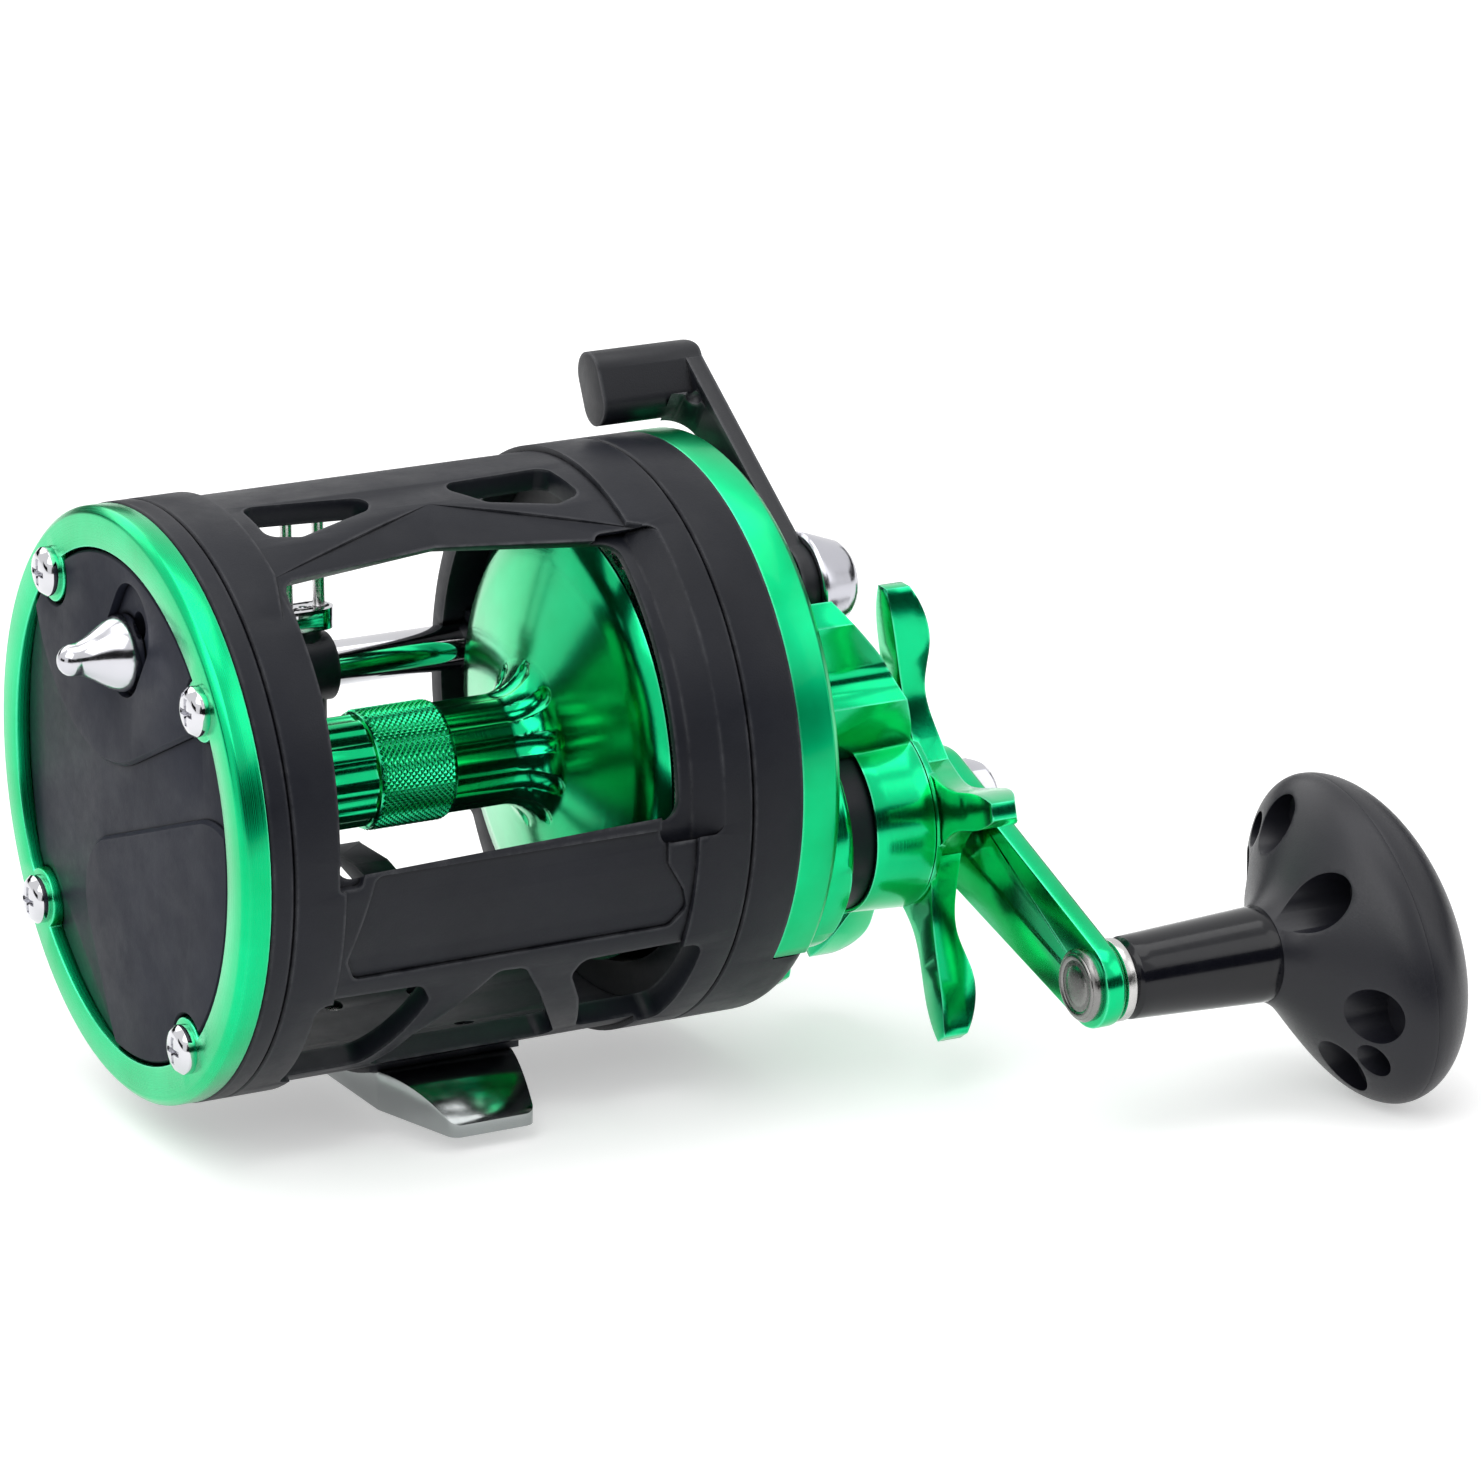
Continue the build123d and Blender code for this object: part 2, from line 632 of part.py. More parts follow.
def left_rim_ring():
    outer = plate_radius - rim_inset
    body = turned([
        (plate_left, cover_radius - ring_blank), (plate_left, outer), (ring_left + rim_bevel, outer),
        (ring_left, outer - rim_bevel), (ring_left, cover_radius - ring_blank),
    ])
    opening = Circle(cover_radius + cover_gap) - screw_ears(ear_radius - cover_gap)
    body -= slab(ring_left - over, plate_left + over, opening)
    for y, z in left_screw_places():
        body -= tube(ring_left - over, plate_left + over, screw_radius_large + press_gap, 0, y, z)
    return body


def cover_slopes():
    # the front of the cover falls away beyond a creased line
    corners = [Vector(cover_left, y, z) for y, z in ((23.7, 19.0), (23.4, -11.5), (3.1, -30.7))]
    cut = Part()
    for first, second in zip(corners, corners[1:]):
        along = (second - first).normalized()
        outwards = Vector(0, -along.Z, along.Y)
        across = outwards * (cover_radius / 2) + Vector(cover_slope * cover_radius / 16, 0, 0)
        cut += flat_cut(first - along * 8, second + along * 8, across, Vector(-1, 0, 0))
    return cut


def left_cover():
    blank = Circle(cover_radius) - screw_ears(ear_radius)
    body = slab(cover_left, plate_left, blank)
    puck = rounded_hull((4.5, 24.6, 20.2), (-20.0, 36.0, 20.2))
    lobe = rounded_hull((2.6, -13.0, 8.4), (-3.0, -24.0, 8.4), (-26.0, -6.0, 11.3), (-20.0, -20.0, 12.0))
    for field in (puck, lobe):
        raised = slab(cover_left - cover_relief, cover_left, blank & field)
        body += chamfer(raised.faces().sort_by(Axis.X)[0].edges(), relief_bevel)
    body -= cover_slopes()
    body -= tube(boss_left - cover_gap, plate_left + over, bearing_radius + bearing_wall + cover_gap)
    body -= click_slot(cover_left - 2 * over, plate_left + over, stem_radius + side_gap)
    return body - click_slot(cover_left - 2 * over, cover_left + button_recess, button_root + blind_wall)


def left_screw(y, z):
    seat = ring_left
    length = seam_left + flange_thickness - left_screw_rest - seat
    return pan_screw(seat, length, screw_head_large, left_screw_height, screw_radius_large, y, z, -1)


def ball_bearing(x0, outer, inner, width):
    # a sealed bearing: two races with a shield sunk between them
    shield = (outer - inner) * 0.25
    body = tube(x0, x0 + width, outer, inner)
    for face in (x0 + shield_depth - over, x0 + width - shield_depth):
        body -= tube(face, face + over, outer - shield, inner + shield)
    return body


def left_bearing():
    return ball_bearing(floor_left - bearing_width, bearing_radius, shaft_radius + running_gap, bearing_width)


def idler_stud():
    body = tube(plate_left + sink, pocket_end, stud_radius, 0, idler_y, idler_z)
    return body + tube(fine_start + fine_gear_width + sink, pocket_end, stud_head, 0, idler_y, idler_z)


def click_button():
    # a polished teardrop on a stem, its hollow flank ending in a round tip
    face = cover_left + button_recess - button_gap
    flank = button_length - button_tip - button_lip
    outline = [(face, 0), (face, button_root)]
    for i in range(flank_steps + 1):
        share = i / flank_steps
        radius = button_tip + (button_root - button_tip) * (1 + cos(pi * share)) / 2
        outline.append((face - button_lip - flank * share, radius))
    for i in range(1, tip_steps + 1):
        turn = pi / 2 * i / tip_steps
        outline.append((face - button_lip - flank - button_tip * sin(turn), button_tip * cos(turn)))
    body = turned(outline, button_y, button_z)
    return body + tube(face - blind_wall, floor_left + 2 * sink, stem_radius, 0, button_y, button_z)


def click_tongue():
    # a sprung pawl on the stem, its tip just clear of the toothed wheel
    waist_y, waist_z = button_y * tongue_reach, button_z * tongue_reach
    sketch = rounded_hull((button_y, button_z, tongue_root), (waist_y, waist_z, tongue_half))
    nose = hypot(waist_y, waist_z) - click_gear_radius - side_gap
    toe = Polygon((0, -tongue_half), (0, tongue_half), (-nose, tongue_toe), (-nose, -tongue_toe), align=None)
    sketch += Pos(waist_y, waist_z) * Rot(0, 0, degrees(atan2(waist_z, waist_y))) * toe
    return slab(click_start, click_start + tongue_thickness, sketch)


# ======== spool ========

def flute_cut():
    # one flute along the hub, carried on round the flare and closed with a round end
    inset = flute_radius - flute_depth
    lane = arbour_radius + inset
    bend = flare_radius - inset
    ring = Plane(origin=(flare_start, -lane, 0), z_dir=(1, 0, 0)) * Circle(flute_radius)
    pivot = Axis((flare_start, -arbour_radius - flare_radius, 0), (0, 0, -1))
    cut = tube(band_half + band_slope, flare_start, flute_radius, 0, -lane) + revolve(ring, pivot, flute_turn)
    turn = radians(flute_turn)
    end = Pos(flare_start + bend * sin(turn), bend * cos(turn) - arbour_radius - flare_radius, 0)
    return cut + end * Sphere(flute_radius)


def spool():
    flare = JernArc((flare_start, arbour_radius), (1, 0), flare_radius, flare_turn)
    back, bore = (flare @ 1).X + flange_wall, shaft_radius + press_gap
    inside = Polyline(
        flare @ 1, (cone_end_x, cone_end_radius), (spool_half - spool_lip, flange_radius),
        (spool_half, flange_radius), (spool_half, flange_radius - lip_height),
        (cone_end_x + flange_wall * dish_share, cone_end_radius - dish_depth),
        (back + dish_start, hub_radius + dish_foot), (back + dish_run, hub_radius),
        (hub_half, hub_radius - hub_step), (hub_half, bore), (0, bore), (0, band_radius),
        (band_half, band_radius), (band_half + band_slope, arbour_radius), (flare_start, arbour_radius),
    )
    half = revolve(make_face(flare + inside), Axis.X)
    for angle in screw_angles(180 / flute_count, flute_count):
        half -= Rot(angle, 0, 0) * flute_cut()
    return half + mirror(half, Plane.YZ)


def spool_shaft():
    left = tube(floor_left - bearing_width + sink, bearing_right, shaft_radius)
    body = left + tube(bearing_right, groove_start + groove_width + pinion_flange, journal_radius)
    half = drive_pin_half + over
    return body - upright(drive_pin_radius + press_gap, -half, half, pinion_start + drive_pin_inset)


def drive_pin():
    return upright(drive_pin_radius, -drive_pin_half, drive_pin_half, pinion_start + drive_pin_inset)


def click_gear():
    sketch = Circle(click_gear_radius)
    for angle in screw_angles(0, click_teeth):
        y, z = polar(click_gear_radius + notch_offset, angle)
        sketch -= Pos(y, z) * Circle(notch_radius)
    return slab(click_start, click_start + tongue_thickness, sketch - Circle(shaft_radius + press_gap))


mesh_direction = degrees(atan2(idler_z, idler_y))
crank_direction = degrees(atan2(crank_z, crank_y))


def level_wind_drive_gear():
    bore = shaft_radius + press_gap
    return gear(fine_start, fine_gear_width, spool_teeth, fine_module, bore, 0, 0, mesh_direction)


def idler_gear():
    phase = mesh_direction + 180 + 180 / idler_teeth
    bore = stud_radius + running_gap
    body = gear(fine_start, fine_gear_width, idler_teeth, fine_module, bore, idler_y, idler_z, phase)
    start, end = fine_start - over, fine_start + fine_gear_width + over
    for angle in screw_angles(0, idler_holes):
        y, z = polar(idler_hole_reach, angle)
        body -= tube(start, end, idler_hole_radius, 0, idler_y + y, idler_z + z)
    return body


def worm_gear():
    phase, bore = mesh_direction + 180, worm_journal + press_gap
    return gear(fine_start, fine_gear_width, worm_teeth, fine_module, bore, worm_y, worm_z, phase)


# ======== level wind ========

def worm_shaft():
    # the crossed grooves of the thread are cut as a row of rings
    end = boss_face - worm_play
    body = tube(fine_start, seam_right - shaft_inset, worm_journal, 0, worm_y, worm_z)
    body += tube(-end, end, worm_radius, 0, worm_y, worm_z)
    count = int(2 * (end - groove_margin) / groove_pitch)
    for i in range(count):
        x = (i - (count - 1) / 2) * groove_pitch
        body -= tube(x - groove_half, x + groove_half, worm_radius + over, worm_root, worm_y, worm_z)
    return body


def worm_bush(side):
    inner = boss_face + tube_seat + bush_gap
    outer = seam_right - bush_inset
    return tube(side * inner, side * outer, bush_radius, worm_journal + running_gap, worm_y, worm_z)


def guard_tube():
    end = boss_face + tube_seat
    body = tube(-end, end, tube_radius, tube_bore, worm_y, worm_z)
    first = guide_rest + guide_low - slot_width / 2 - side_gap
    last = guide_rest + guide_high + slot_width / 2 + side_gap
    slot = Box(last - first, slot_width, tube_radius * slot_share)
    return body - Pos((first + last) / 2, worm_y, worm_z - tube_radius) * slot


def line_guide():
    x0, x1 = guide_rest - guide_half, guide_rest + guide_half
    body = tube(x0, x1, guide_radius, 0, worm_y, worm_z)
    body += upright(neck_radius, worm_z, worm_z + neck_height, guide_rest, worm_y)
    body += upright(cup_radius, worm_z - cup_depth, worm_z, guide_rest, worm_y)
    body -= tube(x0 - over, x1 + over, tube_radius + running_gap, 0, worm_y, worm_z)
    return body - upright(slot_width / 2 + press_gap, worm_z - cup_depth - over, worm_z, guide_rest, worm_y)


def guide_bridge():
    # the bright block that carries the wire
    base = worm_z + neck_height + press_gap
    top = base + block_height + over
    outline = Pos(guide_rest, worm_y) * SlotOverall(wire_spacing + block_overhang, block_depth)
    body = extrude(Plane.XY.offset(base) * outline, amount=block_height, dir=(0, 0, 1))
    for side in (-1, 1):
        x = guide_rest + side * wire_spacing / 2
        body -= upright(wire_radius + press_gap, base + wire_sink, top, x, worm_y)
    return body - upright(block_hole, base + 2 * wire_sink, top, guide_rest, worm_y)


def wire_guide():
    base = worm_z + neck_height + press_gap + wire_sink + bush_gap
    half, top = wire_spacing / 2, worm_z + wire_top - wire_spacing / 2
    left, right = guide_rest - half, guide_rest + half
    path = Line((left, worm_y, base), (left, worm_y, top))
    path += ThreePointArc((left, worm_y, top), (guide_rest, worm_y, top + half), (right, worm_y, top))
    path += Line((right, worm_y, top), (right, worm_y, base))
    return sweep(Plane(origin=(left, worm_y, base), z_dir=(0, 0, 1)) * Circle(wire_radius), path=path)


def guide_pawl():
    top = worm_z - worm_radius - sink
    return upright(slot_width / 2 - running_gap / 2, worm_z - pawl_depth, top, guide_rest, worm_y)


def pawl_cap():
    low = worm_z - pawl_cap_depth
    body = upright(cup_radius, low, worm_z - cup_depth - press_gap, guide_rest, worm_y)
    return body - Pos(guide_rest, worm_y, low) * Box(3 * cup_radius, pawl_cap_slot, pawl_cap_cut)


# ======== right side ========

def lower_sector(x0, x1, spread):
    # everything below the two ends of the green ring, with the given extra angle at both ends
    reach = 2 * plate_radius
    low = ring_cut_angle + spread
    points = [(0, 0), polar(reach, low), polar(reach, -90), polar(reach, 180 - low)]
    return slab(x0, x1, Polygon(*points, align=None))


def right_side_plate():
    seat = plate_radius - rim_seat - press_gap
    body = tube(seam_right, band_right, plate_radius)
    body = chamfer(body.edges().filter_by(GeomType.CIRCLE).sort_by(Axis.X)[0], seam_bevel)
    body += tube(band_right, plate_right, seat)
    heel = tube(band_right - over, ring_right, plate_radius)
    heel = fillet(heel.edges().filter_by(GeomType.CIRCLE).sort_by(Axis.X)[-1], heel_rounding)
    body += heel & lower_sector(band_right, ring_right, 0)
    body -= tube(plate_right, ring_right + over, rim_lip_bore)
    body -= tube(seam_right - over, seam_right + inner_bore_depth, band_bore)
    body -= tube(seam_right + inner_bore_depth - over, wall_right, inner_bore)
    body += tube(wall_right, boss_end, boss_radius, 0, crank_y, crank_z)
    body -= tube(wall_right - over, boss_end + over, boss_bore - boss_shoulder, 0, crank_y, crank_z)
    body -= tube(crank_bearing_start, boss_end + over, boss_bore + press_gap, 0, crank_y, crank_z)
    body += tube(plate_right, lever_start - side_gap, lever_boss, 0, pivot_y, pivot_z)
    body -= tube(wall_right - over, lever_start, lever_shaft + running_gap, 0, pivot_y, pivot_z)
    column = tube(seam_right, plate_right, right_column)
    for y, z in right_screw_places():
        body += (Pos(0, y, z) * column) & tube(seam_right, plate_right, seat)
        body -= tube(seam_right - over, plate_right + over, screw_radius_small + press_gap, 0, y, z)
    for y, z in bridge_screw_places():
        body += tube(bridge_start + bridge_thickness, wall_right + 2 * sink, bridge_column, 0, y, z)
        body -= tube(bridge_start, wall_right - over, screw_radius_small + press_gap, 0, y, z)
    for y, z in cover_screw_places():
        body -= tube(wall_right - over, plate_right + over, screw_radius_small + press_gap, 0, y, z)
    return body


def right_rim_ring():
    body = turned([
        (band_right, plate_radius - rim_seat), (band_right, plate_radius),
        (ring_right - ring_bevel, plate_radius), (ring_right, plate_radius - ring_bevel),
        (ring_right, rim_lip_bore), (plate_right, rim_lip_bore), (plate_right, plate_radius - rim_seat),
    ])
    return body - lower_sector(band_right - over, ring_right + over, ring_end_gap)


def collar_opening():
    # the side on which the wall under the collar stands open, seen about the crank axis
    outline = [(0, 0)] + [polar(3 * collar_root, angle) for angle in (62, 0, -45, -80)]
    return Polygon(*outline, align=None)


def fin_pocket():
    # the room behind the fin for the first screw of the plate
    screw_y, screw_z = right_screw_places()[0]
    corners = [(screw_y - crank_y, screw_z - crank_z)]
    corners += [polar(reach, angle) for reach, angle in ((34, 63.5), (34, 40), (21, 40))]
    return rounded_hull(*[(y, z, screw_head_small + side_gap) for y, z in corners])


def cover_fin():
    # the drop-shaped fin that falls from the collar to the rim of the plate
    along, beside = polar(1, fin_angle), polar(1, fin_angle - 90)
    tip_y, tip_z = [fin_reach * a + fin_offset * b for a, b in zip(along, beside)]
    drop = rounded_hull((0, 0, collar_tip - 2 * sink), (tip_y, tip_z, fin_tip))
    plane = Plane(origin=(0, 0, 0), x_dir=(0, *along), z_dir=(0, *polar(1, fin_angle + 90)))
    fall = [(14.5, -1.0), (17.5, -2.2), (20.0, -3.3), (26.0, -7.8), (30.0, -11.5), (33.0, -14.5)]
    slope = Spline((collar_tip, -side_gap), *fall)
    foot = plate_right - collar_end
    under = Polyline(slope @ 1, (fall[-1][0], foot), (-collar_tip, foot), (-collar_tip, -side_gap), slope @ 0)
    body = slab(plate_right, collar_end, drop - collar_opening() - fin_pocket())
    start = plane.offset(-2 * collar_tip) * Pos(0, collar_end)
    cut = extrude(start * make_face(slope + under), amount=4 * collar_tip, dir=plane.z_dir)
    return Pos(0, crank_y, crank_z) * (body & cut)


def gear_cover():
    outline = rounded_hull((crank_y, crank_z, 14.2), (0, 0, 12.5), (2.0, 8.0, 8.0))
    body = slab(plate_right, base_right, outline)
    top = body.faces().sort_by(Axis.X)[-1]
    body = fillet(top.edges(), cover_rounding)
    for y, z in cover_screw_places():
        body += tube(plate_right, plate_right + lug_height, lug_radius, 0, y, z)
    wall = tube(plate_right, collar_start + over, collar_root, 0, crank_y, crank_z)
    wall -= slab(base_right - opening_depth, collar_start, Pos(crank_y, crank_z) * collar_opening())
    body += wall
    collar = [(collar_start, 0), (collar_start, collar_root), (collar_end, collar_tip), (collar_end, 0)]
    body += turned(collar, crank_y, crank_z) + cover_fin()
    within = tube(plate_right, collar_end, rim_lip_bore - side_gap)
    within += tube(ring_right + press_gap, collar_end, plate_radius - rim_seat)
    body &= within
    body -= tube(plate_right - over, boss_end + sink, boss_radius + press_gap, 0, crank_y, crank_z)
    body -= tube(plate_right - over, collar_end + over, sleeve_radius + side_gap, 0, crank_y, crank_z)
    body -= tube(plate_right - over, collar_end, cap_root + side_gap, 0, pivot_y, pivot_z)
    for y, z in cover_screw_places():
        body -= tube(plate_right - over, base_right + over, screw_radius_small + press_gap, 0, y, z)
        body -= tube(plate_right + lug_height, base_right + over, screw_head_small + 2 * sink, 0, y, z)
    return body


def bridge_plate():
    sketch = Circle(bridge_radius) - Pos(crank_y, crank_z) * Circle(shaft_end_radius + running_gap)
    end = bridge_start + bridge_thickness
    body = slab(bridge_start, end, sketch)
    body += tube(bearing_right - race_step, bridge_start + sink, bearing_radius + race_wall)
    body -= tube(bearing_right, end + over, bearing_radius + press_gap)
    body -= tube(bearing_right - over, bearing_right + over, shaft_radius + race_lip)
    for y, z in bridge_screw_places():
        body -= tube(bridge_start - over, end + over, screw_radius_small + press_gap, 0, y, z)
    for y, z in post_places():
        body -= tube(bridge_start - over, end + over, post_root + press_gap, 0, y, z)
    return body


def right_bearing():
    return ball_bearing(bearing_right, bearing_radius, journal_radius + running_gap, bearing_width)


def bridge_screw(y, z):
    length, height = wall_right - bridge_screw_rest - bridge_start, bridge_screw_height
    return pan_screw(bridge_start, length, bridge_screw_head, height, screw_radius_small, y, z, -1)


def right_screw(y, z):
    length = side_plate_right + flange_thickness - right_screw_rest
    return pan_screw(plate_right, length, screw_head_small, right_screw_height, screw_radius_small, y, z, 1)


def cover_screw(y, z):
    seat, length = plate_right + lug_height, lug_height + right_wall - sink
    return pan_screw(seat, length, screw_head_small, cover_screw_height, screw_radius_small, y, z, 1)


# ======== clutch ========

def yoke_post(y, z):
    start = bridge_start + bridge_thickness
    root = tube(bridge_start + sink, start, post_root, 0, y, z)
    return tube(start, wall_right - sink, post_radius, 0, y, z) + root


def yoke_station():
    return groove_start + (groove_width - yoke_thickness) / 2


def clutch_yoke():
    x0 = yoke_station()
    (y0, z0), (y1, z1) = post_places()
    sketch = rounded_hull((y0, z0, yoke_end), (y1, z1, yoke_end)) + Circle(yoke_middle)
    throat = groove_radius + side_gap
    sketch -= Circle(throat)
    sketch -= Rot(0, 0, crank_direction + 180) * Pos(yoke_middle, 0) * Rectangle(2 * yoke_middle, 2 * throat)
    for y, z in post_places():
        sketch -= Pos(y, z) * Circle(post_radius + running_gap)
    return slab(x0, x0 + yoke_thickness, sketch)


def yoke_spring(y, z):
    # a short coil drawn as stacked turns
    start, end = yoke_station() + yoke_thickness + sink, wall_right - sink
    body = tube(start, end, coil_outer, coil_inner, y, z)
    for i in range(coil_turns):
        x = start + coil_wire + i * (end - start - 2 * coil_wire) / (coil_turns - 1)
        body += Pos(x, y, z) * Rot(0, 90, 0) * Torus(post_radius + coil_offset, coil_wire)
    return body


def pinion():
    bore = journal_radius + running_gap
    body = gear(pinion_start, pinion_width, pinion_teeth, drive_module, bore, 0, 0, crank_direction)
    start, end = pinion_start + pinion_width, groove_start + groove_width
    body += tube(start, end, groove_radius, bore)
    body += tube(start, groove_start, pinion_hub, bore)
    body += tube(end, end + pinion_flange, pinion_hub, bore)
    slot = Box(pin_slot_width, 2 * (drive_pin_radius + running_gap), 2 * (drive_pin_half + side_gap))
    return body - Pos(pinion_start + pin_slot_inset, 0, 0) * slot


def lever_plane(beside=0.0):
    # X across the reel, Y from the pivot to the pad
    reach = hypot(pad_y - pivot_y, pad_z - pivot_z)
    along_y, along_z = (pad_y - pivot_y) / reach, (pad_z - pivot_z) / reach
    origin = (0, pivot_y - along_z * beside, pivot_z + along_y * beside)
    return Plane(origin=origin, x_dir=(1, 0, 0), z_dir=(0, -along_z, along_y)), reach


def lever_side(reach):
    # the lever seen along the pad's face: a plate with a rounded elbow and a pad across its end
    outer, far = lever_start + lever_thickness, reach + pad_short * pad_over
    outline = Polygon((pad_start, -reach), (outer, -reach), (outer, far), (pad_start, far), align=None)
    elbow = outline.vertices().group_by(Axis.X)[-1].sort_by(Axis.Y)[-1]
    return fillet(elbow, elbow_radius)


def elbow_web(under):
    # the hollow corner between the pad's underside and the arm
    outer = lever_start + sink
    block = Pos(outer - web_radius / 2, under - web_radius / 2) * Rectangle(web_radius, web_radius)
    return block - Pos(outer - web_radius, under - web_radius) * Circle(web_radius)


def clutch_lever():
    elbow_y, elbow_z = pad_y - 0.4, pad_z + 0.6
    outer = lever_start + lever_thickness
    arm = rounded_hull((pivot_y, pivot_z, lever_hub - 0.6), (elbow_y, elbow_z, elbow_half))
    pad = Pos(pad_y, pad_z) * Rot(0, 0, pad_turn) * SlotOverall(pad_long, pad_short)
    hub = Pos(pivot_y, pivot_z) * Circle(lever_hub)
    body = slab(lever_start, outer, hub + arm + pad) + slab(pad_start, outer, pad)
    plane, reach = lever_plane()
    side = extrude(plane.offset(-2 * lever_hub) * lever_side(reach), amount=4 * lever_hub, dir=plane.z_dir)
    under = reach - pad_short * pad_under
    web_half = pad_short * web_share
    web = extrude(plane.offset(-web_half) * elbow_web(under), amount=2 * web_half, dir=plane.z_dir)
    body = (body & side) + web
    flank, reach = lever_plane(web_half)
    body -= flank * Pos(lever_start - web_radius / 4, under - web_radius / 4) * Sphere(dimple_radius)
    body += tube(wall_right - shaft_inset, lever_start + 2 * sink, lever_shaft, 0, pivot_y, pivot_z)
    return body + tube(lever_start, outer + lever_stud, lever_shaft, 0, pivot_y, pivot_z)


def clutch_cam():
    start = wall_right - cam_inset
    inwards_y, inwards_z = polar(-cam_reach, pivot_angle)
    sketch = rounded_hull((pivot_y, pivot_z, cam_root), (pivot_y + inwards_y, pivot_z + inwards_z, cam_tip))
    return slab(start, start + cam_width, sketch - Pos(pivot_y, pivot_z) * Circle(lever_shaft + press_gap))


def lever_cap_nut():
    start = lever_start + lever_thickness + press_gap
    end = start + cap_height
    outline = [
        (start, 0), (start, cap_root - 0.3), (start + 0.4, cap_root), (start + 1.2, cap_root - 0.2),
        (end - 1.2, cap_tip + 0.3), (end - 0.35, cap_tip - 0.5), (end, cap_tip - 1.5), (end, 0),
    ]
    body = turned(outline, pivot_y, pivot_z)
    depth = lever_start + lever_thickness + lever_stud + sink
    return body - tube(start - over, depth, lever_shaft + press_gap, 0, pivot_y, pivot_z)


# ======== crank, star and handle ========

def drive_shaft():
    start, collar = bridge_start + 2 * sink, gear_start - 2 * sink
    body = tube(start, collar, shaft_end_radius, 0, crank_y, crank_z)
    body += tube(collar, gear_start + sink, shaft_collar, 0, crank_y, crank_z)
    end = arm_outer + nut_height - nut_roof - sink
    body += tube(gear_start, end, crank_shaft_radius, 0, crank_y, crank_z)
    length = arm_outer + nut_height - arm_inner
    for side in (-1, 1):
        place = Pos(arm_inner + length / 2, crank_y + side * (shaft_flat + over), crank_z)
        body -= place * Box(length, 2 * over, 3 * crank_shaft_radius)
    return body


def main_gear():
    phase = crank_direction + 180 + 180 / main_teeth
    bore = crank_shaft_radius + press_gap
    body = gear(gear_start, main_gear_width, main_teeth, drive_module, bore, crank_y, crank_z, phase)
    seat, end = gear_start + sink + press_gap, gear_start + main_gear_width + over
    body -= tube(gear_start - over, seat, shaft_collar + press_gap, 0, crank_y, crank_z)
    return body - tube(washer_start, end, washer_radius + press_gap, 0, crank_y, crank_z)


def drag_washer(index):
    start = washer_start + index * washer_step + press_gap / 2
    end = start + washer_step - press_gap
    return tube(start, end, washer_radius, crank_shaft_radius + press_gap, crank_y, crank_z)


def ratchet_wheel():
    sketch = Circle(ratchet_radius)
    tooth = Pos(ratchet_radius, 0) * Rot(0, 0, tooth_slant) * Rectangle(tooth_cut, tooth_width)
    for angle in screw_angles(0, ratchet_teeth):
        sketch -= Rot(0, 0, angle) * tooth
    sketch -= Circle(crank_shaft_radius + press_gap)
    return Pos(0, crank_y, crank_z) * slab(ratchet_start, ratchet_start + ratchet_width, sketch)


def dog_pivot():
    y, z = polar(dog_reach, dog_angle)
    return crank_y + y, crank_z + z


def anti_reverse_dog():
    # a dog on a pin, its nose just outside the ratchet
    nose_y, nose_z = polar(ratchet_radius + side_gap + dog_nose, dog_angle + dog_lead)
    y, z = dog_pivot()
    sketch = rounded_hull((y, z, dog_root), (crank_y + nose_y, crank_z + nose_z, dog_nose))
    sketch -= Pos(y, z) * Circle(dog_pin_radius + running_gap)
    return slab(ratchet_start, ratchet_start + ratchet_width, sketch)


def dog_pin():
    y, z = dog_pivot()
    start, end = ratchet_start - pin_head_start, ratchet_start - pin_head_end
    body = tube(start, wall_right - press_gap, dog_pin_radius, 0, y, z)
    return body + tube(start, end, 1.5 * dog_pin_radius, 0, y, z)


def spacer_sleeve():
    start = ratchet_start + ratchet_width + press_gap
    end = boss_end - spring_room
    return tube(start, end, sleeve_radius, crank_shaft_radius + press_gap, crank_y, crank_z)


def crank_bearing():
    body = ball_bearing(crank_bearing_start, boss_bore, sleeve_radius + running_gap, crank_bearing_width)
    return Pos(0, crank_y, crank_z) * body


def spring_washer(index):
    start = boss_end - spring_room + press_gap + index * spring_step
    bore = crank_shaft_radius + press_gap
    if index % 2:
        inner, outer = start + spring_rise, start
    else:
        inner, outer = start, start + spring_rise
    profile = [
        (inner, bore), (outer, spring_radius),
        (outer + spring_wall, spring_radius), (inner + spring_wall, bore),
    ]
    return turned(profile, crank_y, crank_z)


def star_profile():
    # half of one arm in the plane of the star: broad root, waist, blunt tip
    widths = (
        (6.0, 6.4), (10.4, 4.3), (14.5, 2.7), (18.5, 2.25), (22.5, 2.2), (26.5, 1.6), (star_radius, 1.0),
    )
    near = Spline(*widths)
    far = Spline(*[(r, -w) for r, w in reversed(widths)])
    return make_face(near + Line(near @ 1, far @ 0) + far + Line(far @ 1, near @ 0))


def star_side():
    # the arm from the side: it leans towards the plate and swells before the tip
    tip = star_radius + 2 * sink
    lower = ((5.0, star_start), (10.0, star_start + 0.3), (19.0, star_start - 0.7), (tip, star_start - 1.9))
    upper = (
        (tip, star_start + 1.1), (25.5, star_start + 2.7), (21.5, star_start + 3.5),
        (16.5, star_start + 2.9), (12.0, star_start + 3.5), (5.0, star_end),
    )
    below, above = Spline(*lower), Spline(*upper)
    return make_face(below + Line(below @ 1, above @ 0) + above + Line(above @ 1, below @ 0))


